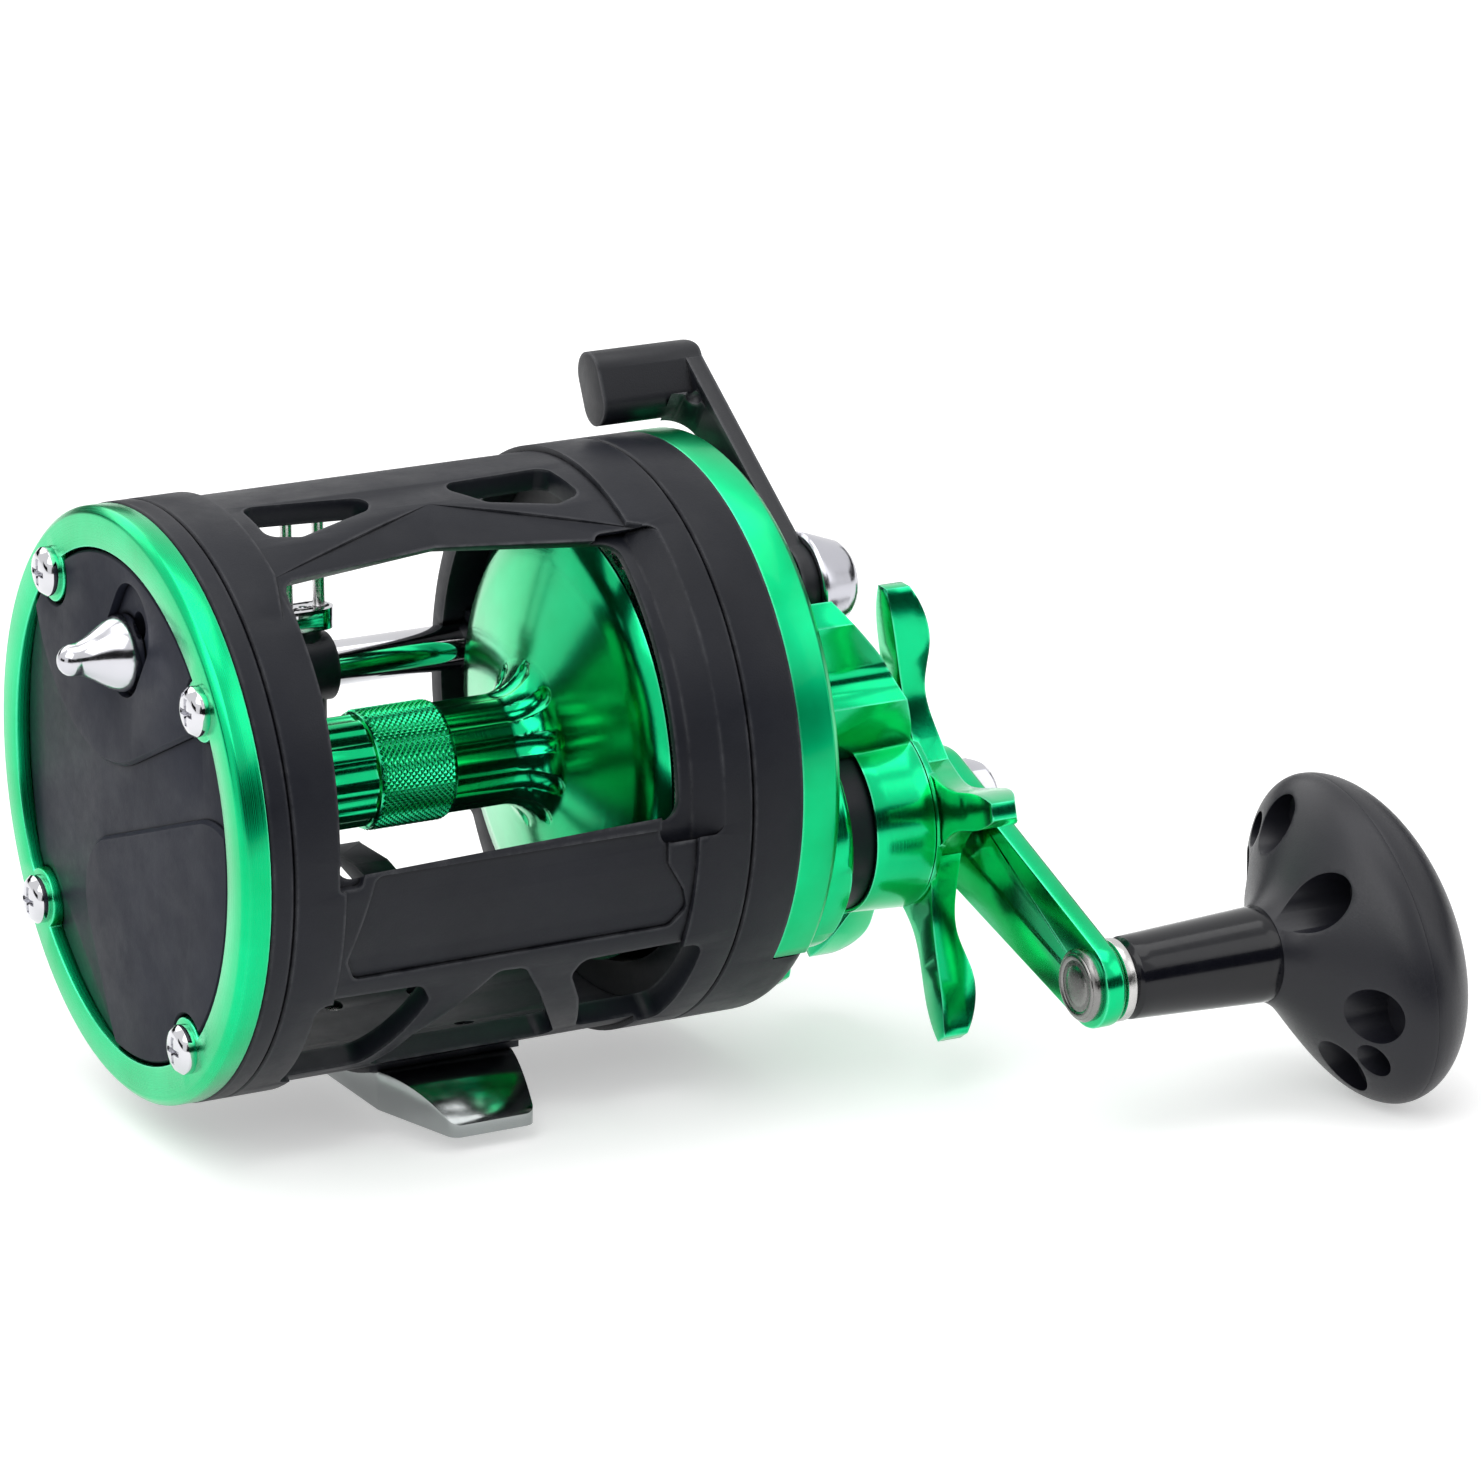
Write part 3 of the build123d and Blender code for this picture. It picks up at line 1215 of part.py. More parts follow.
def star_drag():
    half = star_radius / 2
    side = Plane(origin=(0, 0, half), x_dir=(0, 1, 0), z_dir=(0, 0, -1)) * star_side()
    arm = slab(star_start - star_width, star_end + over, star_profile())
    arm &= extrude(side, amount=2 * half, dir=(0, 0, -1))
    hub = turned([
        (star_start, 0), (star_start, collar_tip - 0.2), (star_start + 0.9, collar_tip - 0.4),
        (star_start + 2.2, 8.6), (star_start + 3.6, 7.3), (star_end, 6.8), (star_end, 0),
    ])
    body = hub + tube(boss_end - sink, star_start, sleeve_radius - 2 * sink)
    for angle in screw_angles(star_phase, star_arms):
        body += Rot(180 - angle, 0, 0) * arm
    body -= tube(boss_end - over, star_end + over, crank_shaft_radius + running_gap)
    return Pos(0, crank_y, crank_z) * body


def handle_arm():
    sketch = rounded_hull((crank_y, crank_z, arm_root_radius), (knob_y, knob_z, arm_tip_radius))
    body = slab(arm_inner, arm_outer, sketch)
    body = chamfer(body.faces().sort_by(Axis.X)[-1].edges(), arm_bevel)
    body -= tube(arm_inner - over, arm_outer + over, spindle_radius + press_gap, 0, knob_y, knob_z)
    hole = Circle(crank_shaft_radius + press_gap) & Rectangle(2 * (shaft_flat + press_gap), beyond)
    return body - Pos(0, crank_y, crank_z) * slab(arm_inner - over, arm_outer + over, hole)


def handle_nut():
    start = arm_outer + press_gap
    end = arm_outer + nut_height
    hexagon = slab(start, end, RegularPolygon(nut_radius, 6))
    crown = [(end - 1.6, nut_radius), (end - 0.5, nut_radius * 0.8), (end, nut_radius * 0.5), (end, 0)]
    body = hexagon & turned([(start, 0), (start, nut_radius)] + crown)
    body -= tube(start - over, end - nut_roof, crank_shaft_radius + press_gap)
    return Pos(0, crank_y, crank_z) * body


def knob_spindle():
    tail = knob_seam - spindle_foot_height
    body = tube(arm_inner - spindle_head_height, arm_inner - press_gap, spindle_head, 0, knob_y, knob_z)
    body = chamfer(body.edges().filter_by(GeomType.CIRCLE).sort_by(Axis.X)[0], spindle_head_bevel)
    body += tube(arm_inner - sink, tail, spindle_radius, 0, knob_y, knob_z)
    return body + tube(tail - spindle_foot_height, tail, spindle_radius + spindle_foot, 0, knob_y, knob_z)


def knob_washer():
    end = knob_start - side_gap / 2
    return tube(arm_outer + press_gap, end, shank_root, spindle_radius + press_gap, knob_y, knob_z)


def knob_shank():
    body = turned([
        (knob_start, 0), (knob_start, shank_root - shank_rounding), (knob_start + shank_rounding, shank_root),
        (shank_end, shank_tip), (shank_end, 0),
    ])
    body -= tube(knob_start - over, shank_end + over, spindle_radius + running_gap)
    return Pos(0, knob_y, knob_z) * body


def knob_section(x, swell):
    long = shank_tip + (knob_long - shank_tip) * swell
    short = shank_tip + (knob_short - shank_tip) * swell
    return Plane.YZ.offset(x) * Rot(0, 0, knob_turn) * Ellipse(long, short)


def finger_holes():
    holes = Part()
    turn = radians(knob_turn)
    for angle in (0, 34, 90, 146, 180, 214, 270, 326):
        radius = finger_end_radius if angle % 180 == 0 else finger_radius
        along, across = finger_long * cos(radians(angle)), finger_short * sin(radians(angle))
        y, z = along * cos(turn) - across * sin(turn), along * sin(turn) + across * cos(turn)
        holes += tube(shank_end - 2 * over, knob_seam - finger_floor, radius, 0, y, z)
    return holes


def handle_knob():
    steps = 7
    start = shank_end + press_gap
    sections = []
    for i in range(steps):
        share = i / (steps - 1)
        swell = ((1 - cos(pi * share)) / 2) ** 0.85
        sections.append(knob_section(start + (knob_seam - start) * share, swell))
    body = loft(sections) - finger_holes()
    body -= tube(shank_end - over, knob_seam, spindle_radius + running_gap)
    body -= tube(knob_seam - spindle_room, knob_seam + over, spindle_radius + spindle_foot + side_gap)
    return Pos(0, knob_y, knob_z) * body


def knob_cap():
    steps = 6
    sections = []
    for i in range(steps):
        share = 0.985 * i / (steps - 1)
        width = (1 - share ** 2) ** 0.5
        place = Plane.YZ.offset(knob_seam + press_gap + cap_length * share) * Rot(0, 0, knob_turn)
        sections.append(place * Ellipse(knob_long * width, knob_short * width))
    return Pos(0, knob_y, knob_z) * loft(sections)


# ======== write the pieces ========

nodes = {
    "main_frame": main_frame,
    "reel_foot": reel_foot,
    "foot_screws": lambda: group(foot_screw(x, y) for x, y in rivet_places()),
    "left_side_plate": left_side_plate,
    "left_rim_ring": left_rim_ring,
    "left_cover": left_cover,
    "left_plate_screws": lambda: group(left_screw(y, z) for y, z in left_screw_places()),
    "left_bearing": left_bearing,
    "idler_stud": idler_stud,
    "click_button": click_button,
    "click_tongue": click_tongue,
    "spool": spool,
    "spool_shaft": spool_shaft,
    "drive_pin": drive_pin,
    "click_gear": click_gear,
    "level_wind_drive_gear": level_wind_drive_gear,
    "idler_gear": idler_gear,
    "worm_gear": worm_gear,
    "worm_shaft": worm_shaft,
    "worm_bushes": lambda: group(worm_bush(side) for side in (-1, 1)),
    "guard_tube": guard_tube,
    "line_guide": line_guide,
    "guide_bridge": guide_bridge,
    "wire_guide": wire_guide,
    "guide_pawl": guide_pawl,
    "pawl_cap": pawl_cap,
    "right_side_plate": right_side_plate,
    "right_rim_ring": right_rim_ring,
    "gear_cover": gear_cover,
    "bridge_plate": bridge_plate,
    "right_bearing": right_bearing,
    "right_plate_screws": lambda: group(right_screw(y, z) for y, z in right_screw_places()),
    "bridge_screws": lambda: group(bridge_screw(y, z) for y, z in bridge_screw_places()),
    "gear_cover_screws": lambda: group(cover_screw(y, z) for y, z in cover_screw_places()),
    "yoke_posts": lambda: group(yoke_post(y, z) for y, z in post_places()),
    "yoke_springs": lambda: group(yoke_spring(y, z) for y, z in post_places()),
    "clutch_yoke": clutch_yoke,
    "pinion": pinion,
    "clutch_lever": clutch_lever,
    "clutch_cam": clutch_cam,
    "lever_cap_nut": lever_cap_nut,
    "anti_reverse_dog": anti_reverse_dog,
    "dog_pin": dog_pin,
    "drive_shaft": drive_shaft,
    "main_gear": main_gear,
    "drag_washers_fibre": lambda: group(drag_washer(i) for i in (0, 2)),
    "drag_washers_metal": lambda: group(drag_washer(i) for i in (1, 3)),
    "ratchet_wheel": ratchet_wheel,
    "crank_bearing": crank_bearing,
    "spacer_sleeve": spacer_sleeve,
    "spring_washers": lambda: group(spring_washer(i) for i in (0, 1)),
    "star_drag": star_drag,
    "handle_arm": handle_arm,
    "handle_nut": handle_nut,
    "knob_spindle": knob_spindle,
    "knob_washer": knob_washer,
    "knob_shank": knob_shank,
    "handle_knob": handle_knob,
    "knob_cap": knob_cap,
}

for name, make in nodes.items():
    solids = [Pos(0, 0, axis_height) * solid for solid in make().solids()]
    piece = Compound(children=solids) if len(solids) > 1 else solids[0]
    export_step(piece, "parts/" + name + ".step")
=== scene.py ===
import bpy
import bmesh
import json
from math import cos, pi, radians, sin
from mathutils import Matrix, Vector


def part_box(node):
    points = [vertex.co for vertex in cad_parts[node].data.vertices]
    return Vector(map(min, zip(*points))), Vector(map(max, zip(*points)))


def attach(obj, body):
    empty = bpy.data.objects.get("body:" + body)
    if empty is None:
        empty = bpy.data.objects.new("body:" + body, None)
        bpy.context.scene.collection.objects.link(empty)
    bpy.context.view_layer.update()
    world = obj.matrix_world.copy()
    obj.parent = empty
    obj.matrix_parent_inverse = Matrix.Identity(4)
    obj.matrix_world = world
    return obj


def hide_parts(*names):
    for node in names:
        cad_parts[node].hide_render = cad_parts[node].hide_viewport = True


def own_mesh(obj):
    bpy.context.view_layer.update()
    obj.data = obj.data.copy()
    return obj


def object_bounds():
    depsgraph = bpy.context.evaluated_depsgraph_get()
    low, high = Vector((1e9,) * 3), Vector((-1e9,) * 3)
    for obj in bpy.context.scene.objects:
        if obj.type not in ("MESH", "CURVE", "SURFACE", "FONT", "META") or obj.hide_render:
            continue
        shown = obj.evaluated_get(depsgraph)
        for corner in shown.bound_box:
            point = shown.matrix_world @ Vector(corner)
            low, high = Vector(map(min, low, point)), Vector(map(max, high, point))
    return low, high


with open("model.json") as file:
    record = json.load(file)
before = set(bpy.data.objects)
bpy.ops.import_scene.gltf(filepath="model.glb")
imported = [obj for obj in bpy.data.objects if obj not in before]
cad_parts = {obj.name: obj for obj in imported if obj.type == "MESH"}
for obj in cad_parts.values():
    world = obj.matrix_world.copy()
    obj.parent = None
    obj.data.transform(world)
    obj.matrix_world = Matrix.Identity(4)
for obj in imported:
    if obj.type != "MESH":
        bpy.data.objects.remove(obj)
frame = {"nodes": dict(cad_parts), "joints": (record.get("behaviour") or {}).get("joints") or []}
cadLow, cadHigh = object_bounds()
nodes = frame["nodes"]
joints = {joint["name"]: joint for joint in frame["joints"]}
mm = 0.001
print("frame loaded:", len(nodes), "pieces from the bench")

# the axes that the finishes and the turned pieces are laid out round, in metres
spoolAxis = Vector(joints["spool_spin"]["pos_m"])
crankAxis = Vector(joints["crank_turn"]["pos_m"])
knobAxis = Vector(joints["knob_spin"]["pos_m"])

camera = {
    "place": (-0.3504, -0.7397, 0.2914),
    "azimuth": 28.183,
    "elevation": 17.066,
    "lens": 177.68,
    "sensor": 36,
    "clip": (0.01, 20),
}


def setCamera():
    data = bpy.data.cameras.new("camera")
    data.lens = camera["lens"]
    data.sensor_width = camera["sensor"]
    data.clip_start, data.clip_end = camera["clip"]
    eye = bpy.data.objects.new("camera", data)
    eye.location = camera["place"]
    eye.rotation_euler = (radians(90 - camera["elevation"]), 0, -radians(camera["azimuth"]))
    bpy.context.scene.collection.objects.link(eye)
    bpy.context.scene.camera = eye
    bpy.context.scene.view_settings.view_transform = "Standard"


def newMaterial(name):
    material = bpy.data.materials.new(name)
    material.use_nodes = True
    tree = material.node_tree
    tree.nodes.clear()
    output = tree.nodes.new("ShaderNodeOutputMaterial")
    shader = tree.nodes.new("ShaderNodeBsdfPrincipled")
    tree.links.new(shader.outputs[0], output.inputs[0])
    return material, tree, shader


def plug(tree, socket, value):
    # links another node's output, or sets a plain value
    if isinstance(value, bpy.types.NodeSocket):
        tree.links.new(value, socket)
    else:
        socket.default_value = value


def addNode(tree, kind, inputs=None, **settings):
    node = tree.nodes.new(kind)
    for key, value in settings.items():
        setattr(node, key, value)
    for key, value in (inputs or {}).items():
        plug(tree, node.inputs[key], value)
    return node


def maths(tree, operation, a, b=None):
    inputs = {0: a}
    if b is not None:
        inputs[1] = b
    return addNode(tree, "ShaderNodeMath", inputs, operation=operation).outputs[0]


def mapRange(tree, value, low, high, toLow, toHigh):
    node = addNode(tree, "ShaderNodeMapRange", {0: value, 1: low, 2: high, 3: toLow, 4: toHigh})
    return node.outputs[0]


def rampBetween(tree, factor, places, first, second):
    # first colour up to the first place along the factor, second colour from the second place on
    node = addNode(tree, "ShaderNodeValToRGB", {0: factor})
    for element, place, colour in zip(node.color_ramp.elements, places, (first, second)):
        element.position = place
        element.color = (*colour, 1)
    return node.outputs[0]


def blendColours(tree, factor, first, second):
    node = tree.nodes.new("ShaderNodeMix")
    node.data_type = "RGBA"
    plug(tree, node.inputs[0], factor)
    for socket, value in ((node.inputs[6], first), (node.inputs[7], second)):
        plug(tree, socket, value if isinstance(value, bpy.types.NodeSocket) else (*value, 1))
    return node.outputs[2]


def objectPlace(tree):
    return addNode(tree, "ShaderNodeTexCoord").outputs["Object"]


def roundAxis(tree, place, centre):
    # distance from an axis along X, and the station along it, both in millimetres
    both = {0: place, 1: tuple(centre)}
    moved = addNode(tree, "ShaderNodeVectorMath", both, operation="SUBTRACT").outputs[0]
    parts = addNode(tree, "ShaderNodeSeparateXYZ", {0: moved})
    y, z = parts.outputs[1], parts.outputs[2]
    squares = maths(tree, "ADD", maths(tree, "MULTIPLY", y, y), maths(tree, "MULTIPLY", z, z))
    radius = maths(tree, "MULTIPLY", maths(tree, "SQRT", squares), 1 / mm)
    station = maths(tree, "MULTIPLY", parts.outputs[0], 1 / mm)
    return radius, station


def fineNoise(tree, place, scale, detail, roughness=0.6):
    inputs = {"Vector": place, "Scale": scale, "Detail": detail, "Roughness": roughness}
    return addNode(tree, "ShaderNodeTexNoise", inputs).outputs["Fac"]


def addBump(tree, shader, height, strength, distance):
    bump = addNode(tree, "ShaderNodeBump", {"Height": height, "Strength": strength, "Distance": distance})
    tree.links.new(bump.outputs[0], shader.inputs["Normal"])


masks = {
    "edgeSamples": 4,
    "edgeFrom": 0.995,  # a corner begins where the softened normal agrees less than this with the plain one
    # settings for the painted shade in seams and corners, found by ambient occlusion
    "seamShadeSamples": 6,
    "seamShadeDeep": 0.5,  # share of open sky, from the bottom of a seam to its mouth
    "seamShadeMouth": 0.9,
}
contrast = (0.3, 0.7)  # the part of a noise's range that shows


def edgeMask(tree, reach, full):
    # 0 on flats, rising along corners to 1 where the normals agree by no more than full
    soft = addNode(tree, "ShaderNodeBevel", {"Radius": reach}, samples=masks["edgeSamples"]).outputs[0]
    plain = addNode(tree, "ShaderNodeNewGeometry").outputs["Normal"]
    same = addNode(tree, "ShaderNodeVectorMath", {0: soft, 1: plain}, operation="DOT_PRODUCT")
    return mapRange(tree, same.outputs["Value"], masks["edgeFrom"], full, 0.0, 1.0)


def seamShadeMask(tree, reach):
    # painted shade: 1 deep in a seam or a corner, where ambient occlusion finds little open sky, 0 in the
    # open
    node = addNode(tree, "ShaderNodeAmbientOcclusion", {"Distance": reach}, samples=masks["seamShadeSamples"])
    return mapRange(tree, node.outputs["AO"], masks["seamShadeDeep"], masks["seamShadeMouth"], 1.0, 0.0)


anodised = {
    "deep": (0.0, 0.47, 0.155),
    "bright": (0.002, 0.63, 0.24),
    "cloudScale": 60,
    # pale green for corners: partly wear, partly a painted highlight
    "edge": (0.12, 0.86, 0.50),
    "edgeReach": 0.4 * mm,
    "edgeFull": 0.95,
    "rough": (0.15, 0.27),
    "toolMarks": 9.0,  # turned lines for each millimetre
    "lineDepth": 0.03,
    "lineReach": 0.2 * mm,
    "coat": 0.18,
    "coatRough": 0.1,
    "drawnOut": 0.45,  # how far the spool's gloss is drawn out across the turned lines
}


def anodisedMaterial(name, centre, rough=0.0, drawnOut=0.0, wearAndHighlight=0.85):
    # dyed aluminium that was turned on a lathe, paler along its corners, partly from wear and partly as a
    # painted highlight
    material, tree, shader = newMaterial(name)
    place = objectPlace(tree)
    radius, station = roundAxis(tree, place, centre)
    cloud = fineNoise(tree, place, anodised["cloudScale"], 4)
    plain = rampBetween(tree, cloud, contrast, anodised["deep"], anodised["bright"])
    # pale corners, partly from wear and partly a painted highlight
    worn = maths(tree, "MULTIPLY", edgeMask(tree, anodised["edgeReach"], anodised["edgeFull"]), wearAndHighlight)
    across = maths(tree, "MULTIPLY", radius, anodised["toolMarks"])
    along = maths(tree, "MULTIPLY", station, anodised["toolMarks"])
    lathe = {"W": maths(tree, "ADD", across, along), "Scale": 1.0, "Detail": 2.0}
    rings = addNode(tree, "ShaderNodeTexNoise", lathe, noise_dimensions="1D").outputs["Fac"]
    smoothest, roughest = anodised["rough"]
    roughness = mapRange(tree, rings, *contrast, smoothest + rough, roughest + rough)
    shader.inputs["Metallic"].default_value = 1.0
    shader.inputs["Coat Weight"].default_value = anodised["coat"]
    shader.inputs["Coat Roughness"].default_value = anodised["coatRough"]
    if drawnOut > 0:
        shader.inputs["Anisotropic"].default_value = drawnOut
        tangent = addNode(tree, "ShaderNodeTangent", direction_type="RADIAL", axis="X")
        tree.links.new(tangent.outputs[0], shader.inputs["Tangent"])
    tree.links.new(blendColours(tree, worn, plain, anodised["edge"]), shader.inputs["Base Color"])
    tree.links.new(roughness, shader.inputs["Roughness"])
    addBump(tree, shader, rings, anodised["lineDepth"], anodised["lineReach"])
    return material


moulded = {
    "dark": (0.0052, 0.0060, 0.0100),
    "light": (0.0105, 0.0118, 0.0178),
    "cloudScale": 45,
    "cloudRange": (0.3, 0.72),
    # pale grey for corners: partly wear, partly a painted highlight
    "edge": (0.085, 0.087, 0.095),
    "edgeFull": 0.93,
    "rubScale": 220,
    "rubRange": (0.42, 0.62),
    "rubLeast": 0.15,
    # near-black painted shade for seams and corners
    "seamShade": (0.0012, 0.0012, 0.0014),
    "seamShadeReach": 0.7 * mm,
    "rough": (0.36, 0.50),
    "grainScale": 5200,
    "grainStrength": 0.14,
    "grainReach": 0.12 * mm,
}


def mouldedMaterial(name, lift=1.0, wearAndHighlight=0.8, gloss=0.22, edgeReach=0.7 * mm):
    # glass-filled nylon: a fine grain, rubbed clouds in the gloss, paler along handled corners partly from
    # wear and partly as a painted highlight, with painted shade darkening its seams and corners
    material, tree, shader = newMaterial(name)
    place = objectPlace(tree)
    cloud = fineNoise(tree, place, moulded["cloudScale"], 5)
    dark = tuple(lift * c for c in moulded["dark"])
    light = tuple(lift * c for c in moulded["light"])
    plain = rampBetween(tree, cloud, moulded["cloudRange"], dark, light)
    rub = fineNoise(tree, place, moulded["rubScale"], 6, 0.7)
    rubbed = mapRange(tree, rub, *moulded["rubRange"], moulded["rubLeast"], 1.0)
    # pale corners, partly from wear and partly a painted highlight
    wornAndLitCorners = maths(tree, "MULTIPLY", edgeMask(tree, edgeReach, moulded["edgeFull"]), rubbed)
    worn = blendColours(tree, maths(tree, "MULTIPLY", wornAndLitCorners, wearAndHighlight), plain, moulded["edge"])
    # painted shade: darkens seams and corners and takes their gloss away
    seamShade = seamShadeMask(tree, moulded["seamShadeReach"])
    grain = fineNoise(tree, place, moulded["grainScale"], 2, 0.5)
    tree.links.new(blendColours(tree, seamShade, worn, moulded["seamShade"]), shader.inputs["Base Color"])
    tree.links.new(mapRange(tree, rub, *contrast, *moulded["rough"]), shader.inputs["Roughness"])
    tree.links.new(mapRange(tree, seamShade, 0.0, 1.0, gloss, 0.0), shader.inputs["Specular IOR Level"])
    addBump(tree, shader, grain, moulded["grainStrength"], moulded["grainReach"])
    return material


polished = {
    "tintScale": 120,
    "shade": 0.9,  # how dark the tint's deep places are
    "markReach": 0.1 * mm,
}


def polishedMaterial(name, colour, smoothest, roughest, marks=0.03, grain=900):
    # bright metal with a faint cloud of wear in its gloss
    material, tree, shader = newMaterial(name)
    place = objectPlace(tree)
    cloud = fineNoise(tree, place, grain, 4)
    tint = fineNoise(tree, place, polished["tintScale"], 3, 0.5)
    deep = tuple(polished["shade"] * c for c in colour)
    tree.links.new(rampBetween(tree, tint, contrast, deep, colour), shader.inputs["Base Color"])
    tree.links.new(mapRange(tree, cloud, *contrast, smoothest, roughest), shader.inputs["Roughness"])
    shader.inputs["Metallic"].default_value = 1.0
    addBump(tree, shader, cloud, marks, polished["markReach"])
    return material


glossy = {
    "cloudScale": 80,
    "shade": 0.75,
    "coatRough": 0.06,
    "speckReach": 0.1 * mm,
}


def glossMaterial(name, colour, smoothest, roughest, coat, grain, strength, gloss=0.42):
    # plastic, rubber or fibre with a fine speck in its skin
    material, tree, shader = newMaterial(name)
    place = objectPlace(tree)
    cloud = fineNoise(tree, place, glossy["cloudScale"], 4)
    speck = fineNoise(tree, place, grain, 3)
    deep = tuple(glossy["shade"] * c for c in colour)
    tree.links.new(rampBetween(tree, cloud, contrast, deep, colour), shader.inputs["Base Color"])
    tree.links.new(mapRange(tree, speck, *contrast, smoothest, roughest), shader.inputs["Roughness"])
    shader.inputs["Coat Weight"].default_value = coat
    shader.inputs["Coat Roughness"].default_value = glossy["coatRough"]
    shader.inputs["Specular IOR Level"].default_value = gloss
    addBump(tree, shader, speck, strength, glossy["speckReach"])
    return material


# colour, smoothest, roughest, and where it differs the depth and the fineness of the marks
metals = {
    "chromePlate": ((0.66, 0.66, 0.69), 0.05, 0.12),
    "buttonChrome": ((0.62, 0.62, 0.66), 0.10, 0.2),
    "satinChrome": ((0.56, 0.56, 0.61), 0.14, 0.24),
    # chrome darkened to stand in for the dark reflections around the foot: painted shade
    "shadedFootChrome": ((0.33, 0.35, 0.35), 0.12, 0.2),
    "pewter": ((0.27, 0.265, 0.26), 0.16, 0.34, 0.05, 2200),
    "stainless": ((0.58, 0.57, 0.56), 0.18, 0.34, 0.05, 2600),
    "gearBrass": ((0.74, 0.55, 0.24), 0.18, 0.3),
}

# colour, smoothest, roughest, coat, fineness and depth of the speck, and where it differs the gloss
plastics = {
    "glossBlack": ((0.0045, 0.0048, 0.008), 0.12, 0.2, 0.12, 900, 0.02, 0.3),
    "knobBlack": ((0.0095, 0.0098, 0.015), 0.32, 0.44, 0.0, 4200, 0.12, 0.4),
    "nylonWhite": ((0.75, 0.74, 0.7), 0.3, 0.45, 0.0, 1200, 0.05),
    "carbonFibre": ((0.06, 0.05, 0.05), 0.35, 0.5, 0.1, 3000, 0.15),
}

finishes = {
    "anodisedSpool": anodisedMaterial("anodisedSpool", spoolAxis, rough=-0.05, drawnOut=anodised["drawnOut"]),
    "anodisedKnurl": anodisedMaterial("anodisedKnurl", spoolAxis, wearAndHighlight=0.15),
    "anodisedRim": anodisedMaterial("anodisedRim", spoolAxis, rough=0.06),
    "anodisedSatin": anodisedMaterial("anodisedSatin", spoolAxis, rough=0.15),
    "anodisedCrank": anodisedMaterial("anodisedCrank", crankAxis, rough=-0.02),
    "graphiteBlack": mouldedMaterial("graphiteBlack"),
    "coverBlack": mouldedMaterial("coverBlack", lift=2.1, wearAndHighlight=0.3, gloss=0.06, edgeReach=0.4 * mm),
    "leverBlack": mouldedMaterial("leverBlack", lift=0.8, wearAndHighlight=1.6, gloss=0.38),
}
finishes.update({name: polishedMaterial(name, *values) for name, values in metals.items()})
finishes.update({name: glossMaterial(name, *values) for name, values in plastics.items()})
print("finishes made:", len(finishes))

# which pieces from the bench wear each finish; all others are stainless
wears = {
    "anodisedSpool": ["spool"],
    "anodisedRim": ["left_rim_ring"],
    "anodisedSatin": ["right_rim_ring"],
    "anodisedCrank": ["gear_cover", "star_drag", "handle_arm"],
    "graphiteBlack": ["main_frame", "left_side_plate", "right_side_plate", "line_guide"],
    "leverBlack": ["clutch_lever"],
    "coverBlack": ["left_cover"],
    "buttonChrome": ["click_button"],
    "chromePlate": [
        "left_plate_screws", "guide_bridge", "right_plate_screws", "gear_cover_screws", "guard_tube",
    ],
    "satinChrome": ["lever_cap_nut", "handle_nut"],
    "shadedFootChrome": ["reel_foot"],
    "pewter": ["knob_spindle"],
    "gearBrass": ["pinion", "main_gear", "worm_bushes", "guide_pawl", "pawl_cap"],
    "nylonWhite": ["level_wind_drive_gear", "idler_gear", "worm_gear"],
    "carbonFibre": ["drag_washers_fibre"],
    "glossBlack": ["knob_shank"],
    "knobBlack": ["handle_knob", "knob_cap"],
}

softening = {
    "plain": 0.08,  # width of the broken edge in millimetres, on a piece that isn't named below
    "wide": {
        "main_frame": 0.35, "left_side_plate": 0.2, "right_side_plate": 0.3, "left_cover": 0.25,
        "left_rim_ring": 0.25, "right_rim_ring": 0.2, "gear_cover": 0.5, "star_drag": 0.45,
        "handle_arm": 0.3, "clutch_lever": 0.4, "spool": 0.15, "reel_foot": 0.3, "handle_nut": 0.25,
        "left_plate_screws": 0.12, "guide_bridge": 0.2, "line_guide": 0.3, "handle_knob": 0.35,
        "knob_cap": 0.2, "knob_washer": 0.12, "right_plate_screws": 0.1, "gear_cover_screws": 0.1,
    },
    "steps": 2,
    "cornerFrom": 40,  # an edge that turns by fewer degrees isn't broken
    "smoothBelow": 38,  # an edge that turns by fewer degrees is shaded smooth
    "joinWithin": 0.002 * mm,
}


def newGeometryTree(name):
    tree = bpy.data.node_groups.new(name, "GeometryNodeTree")
    for way in ("INPUT", "OUTPUT"):
        tree.interface.new_socket("Geometry", in_out=way, socket_type="NodeSocketGeometry")
    return tree, tree.nodes.new("NodeGroupInput"), tree.nodes.new("NodeGroupOutput")


def smoothingNodes():
    # smooth shading that breaks at hard corners
    tree, start, end = newGeometryTree("smoothCorners")
    angle = tree.nodes.new("GeometryNodeInputMeshEdgeAngle")
    turnsLittle = {0: angle.outputs[0], 1: radians(softening["smoothBelow"])}
    below = addNode(tree, "FunctionNodeCompare", turnsLittle, operation="LESS_EQUAL")
    allFaces = {0: start.outputs[0], "Shade Smooth": True}
    faces = addNode(tree, "GeometryNodeSetShadeSmooth", allFaces, domain="FACE")
    softEdges = {0: faces.outputs[0], "Shade Smooth": below.outputs[0]}
    edges = addNode(tree, "GeometryNodeSetShadeSmooth", softEdges, domain="EDGE")
    tree.links.new(edges.outputs[0], end.inputs[0])
    return tree


def weldingNodes():
    # joins the corners of neighbouring faces, so that a bevel can run along them
    tree, start, end = newGeometryTree("joinCorners")
    strip = addNode(tree, "GeometryNodeRemoveAttribute", {0: start.outputs[0], "Name": "custom_normal"})
    within = {0: strip.outputs[0], "Distance": softening["joinWithin"]}
    join = addNode(tree, "GeometryNodeMergeByDistance", within)
    tree.links.new(join.outputs[0], end.inputs[0])
    return tree


smoothing = smoothingNodes()
welding = weldingNodes()


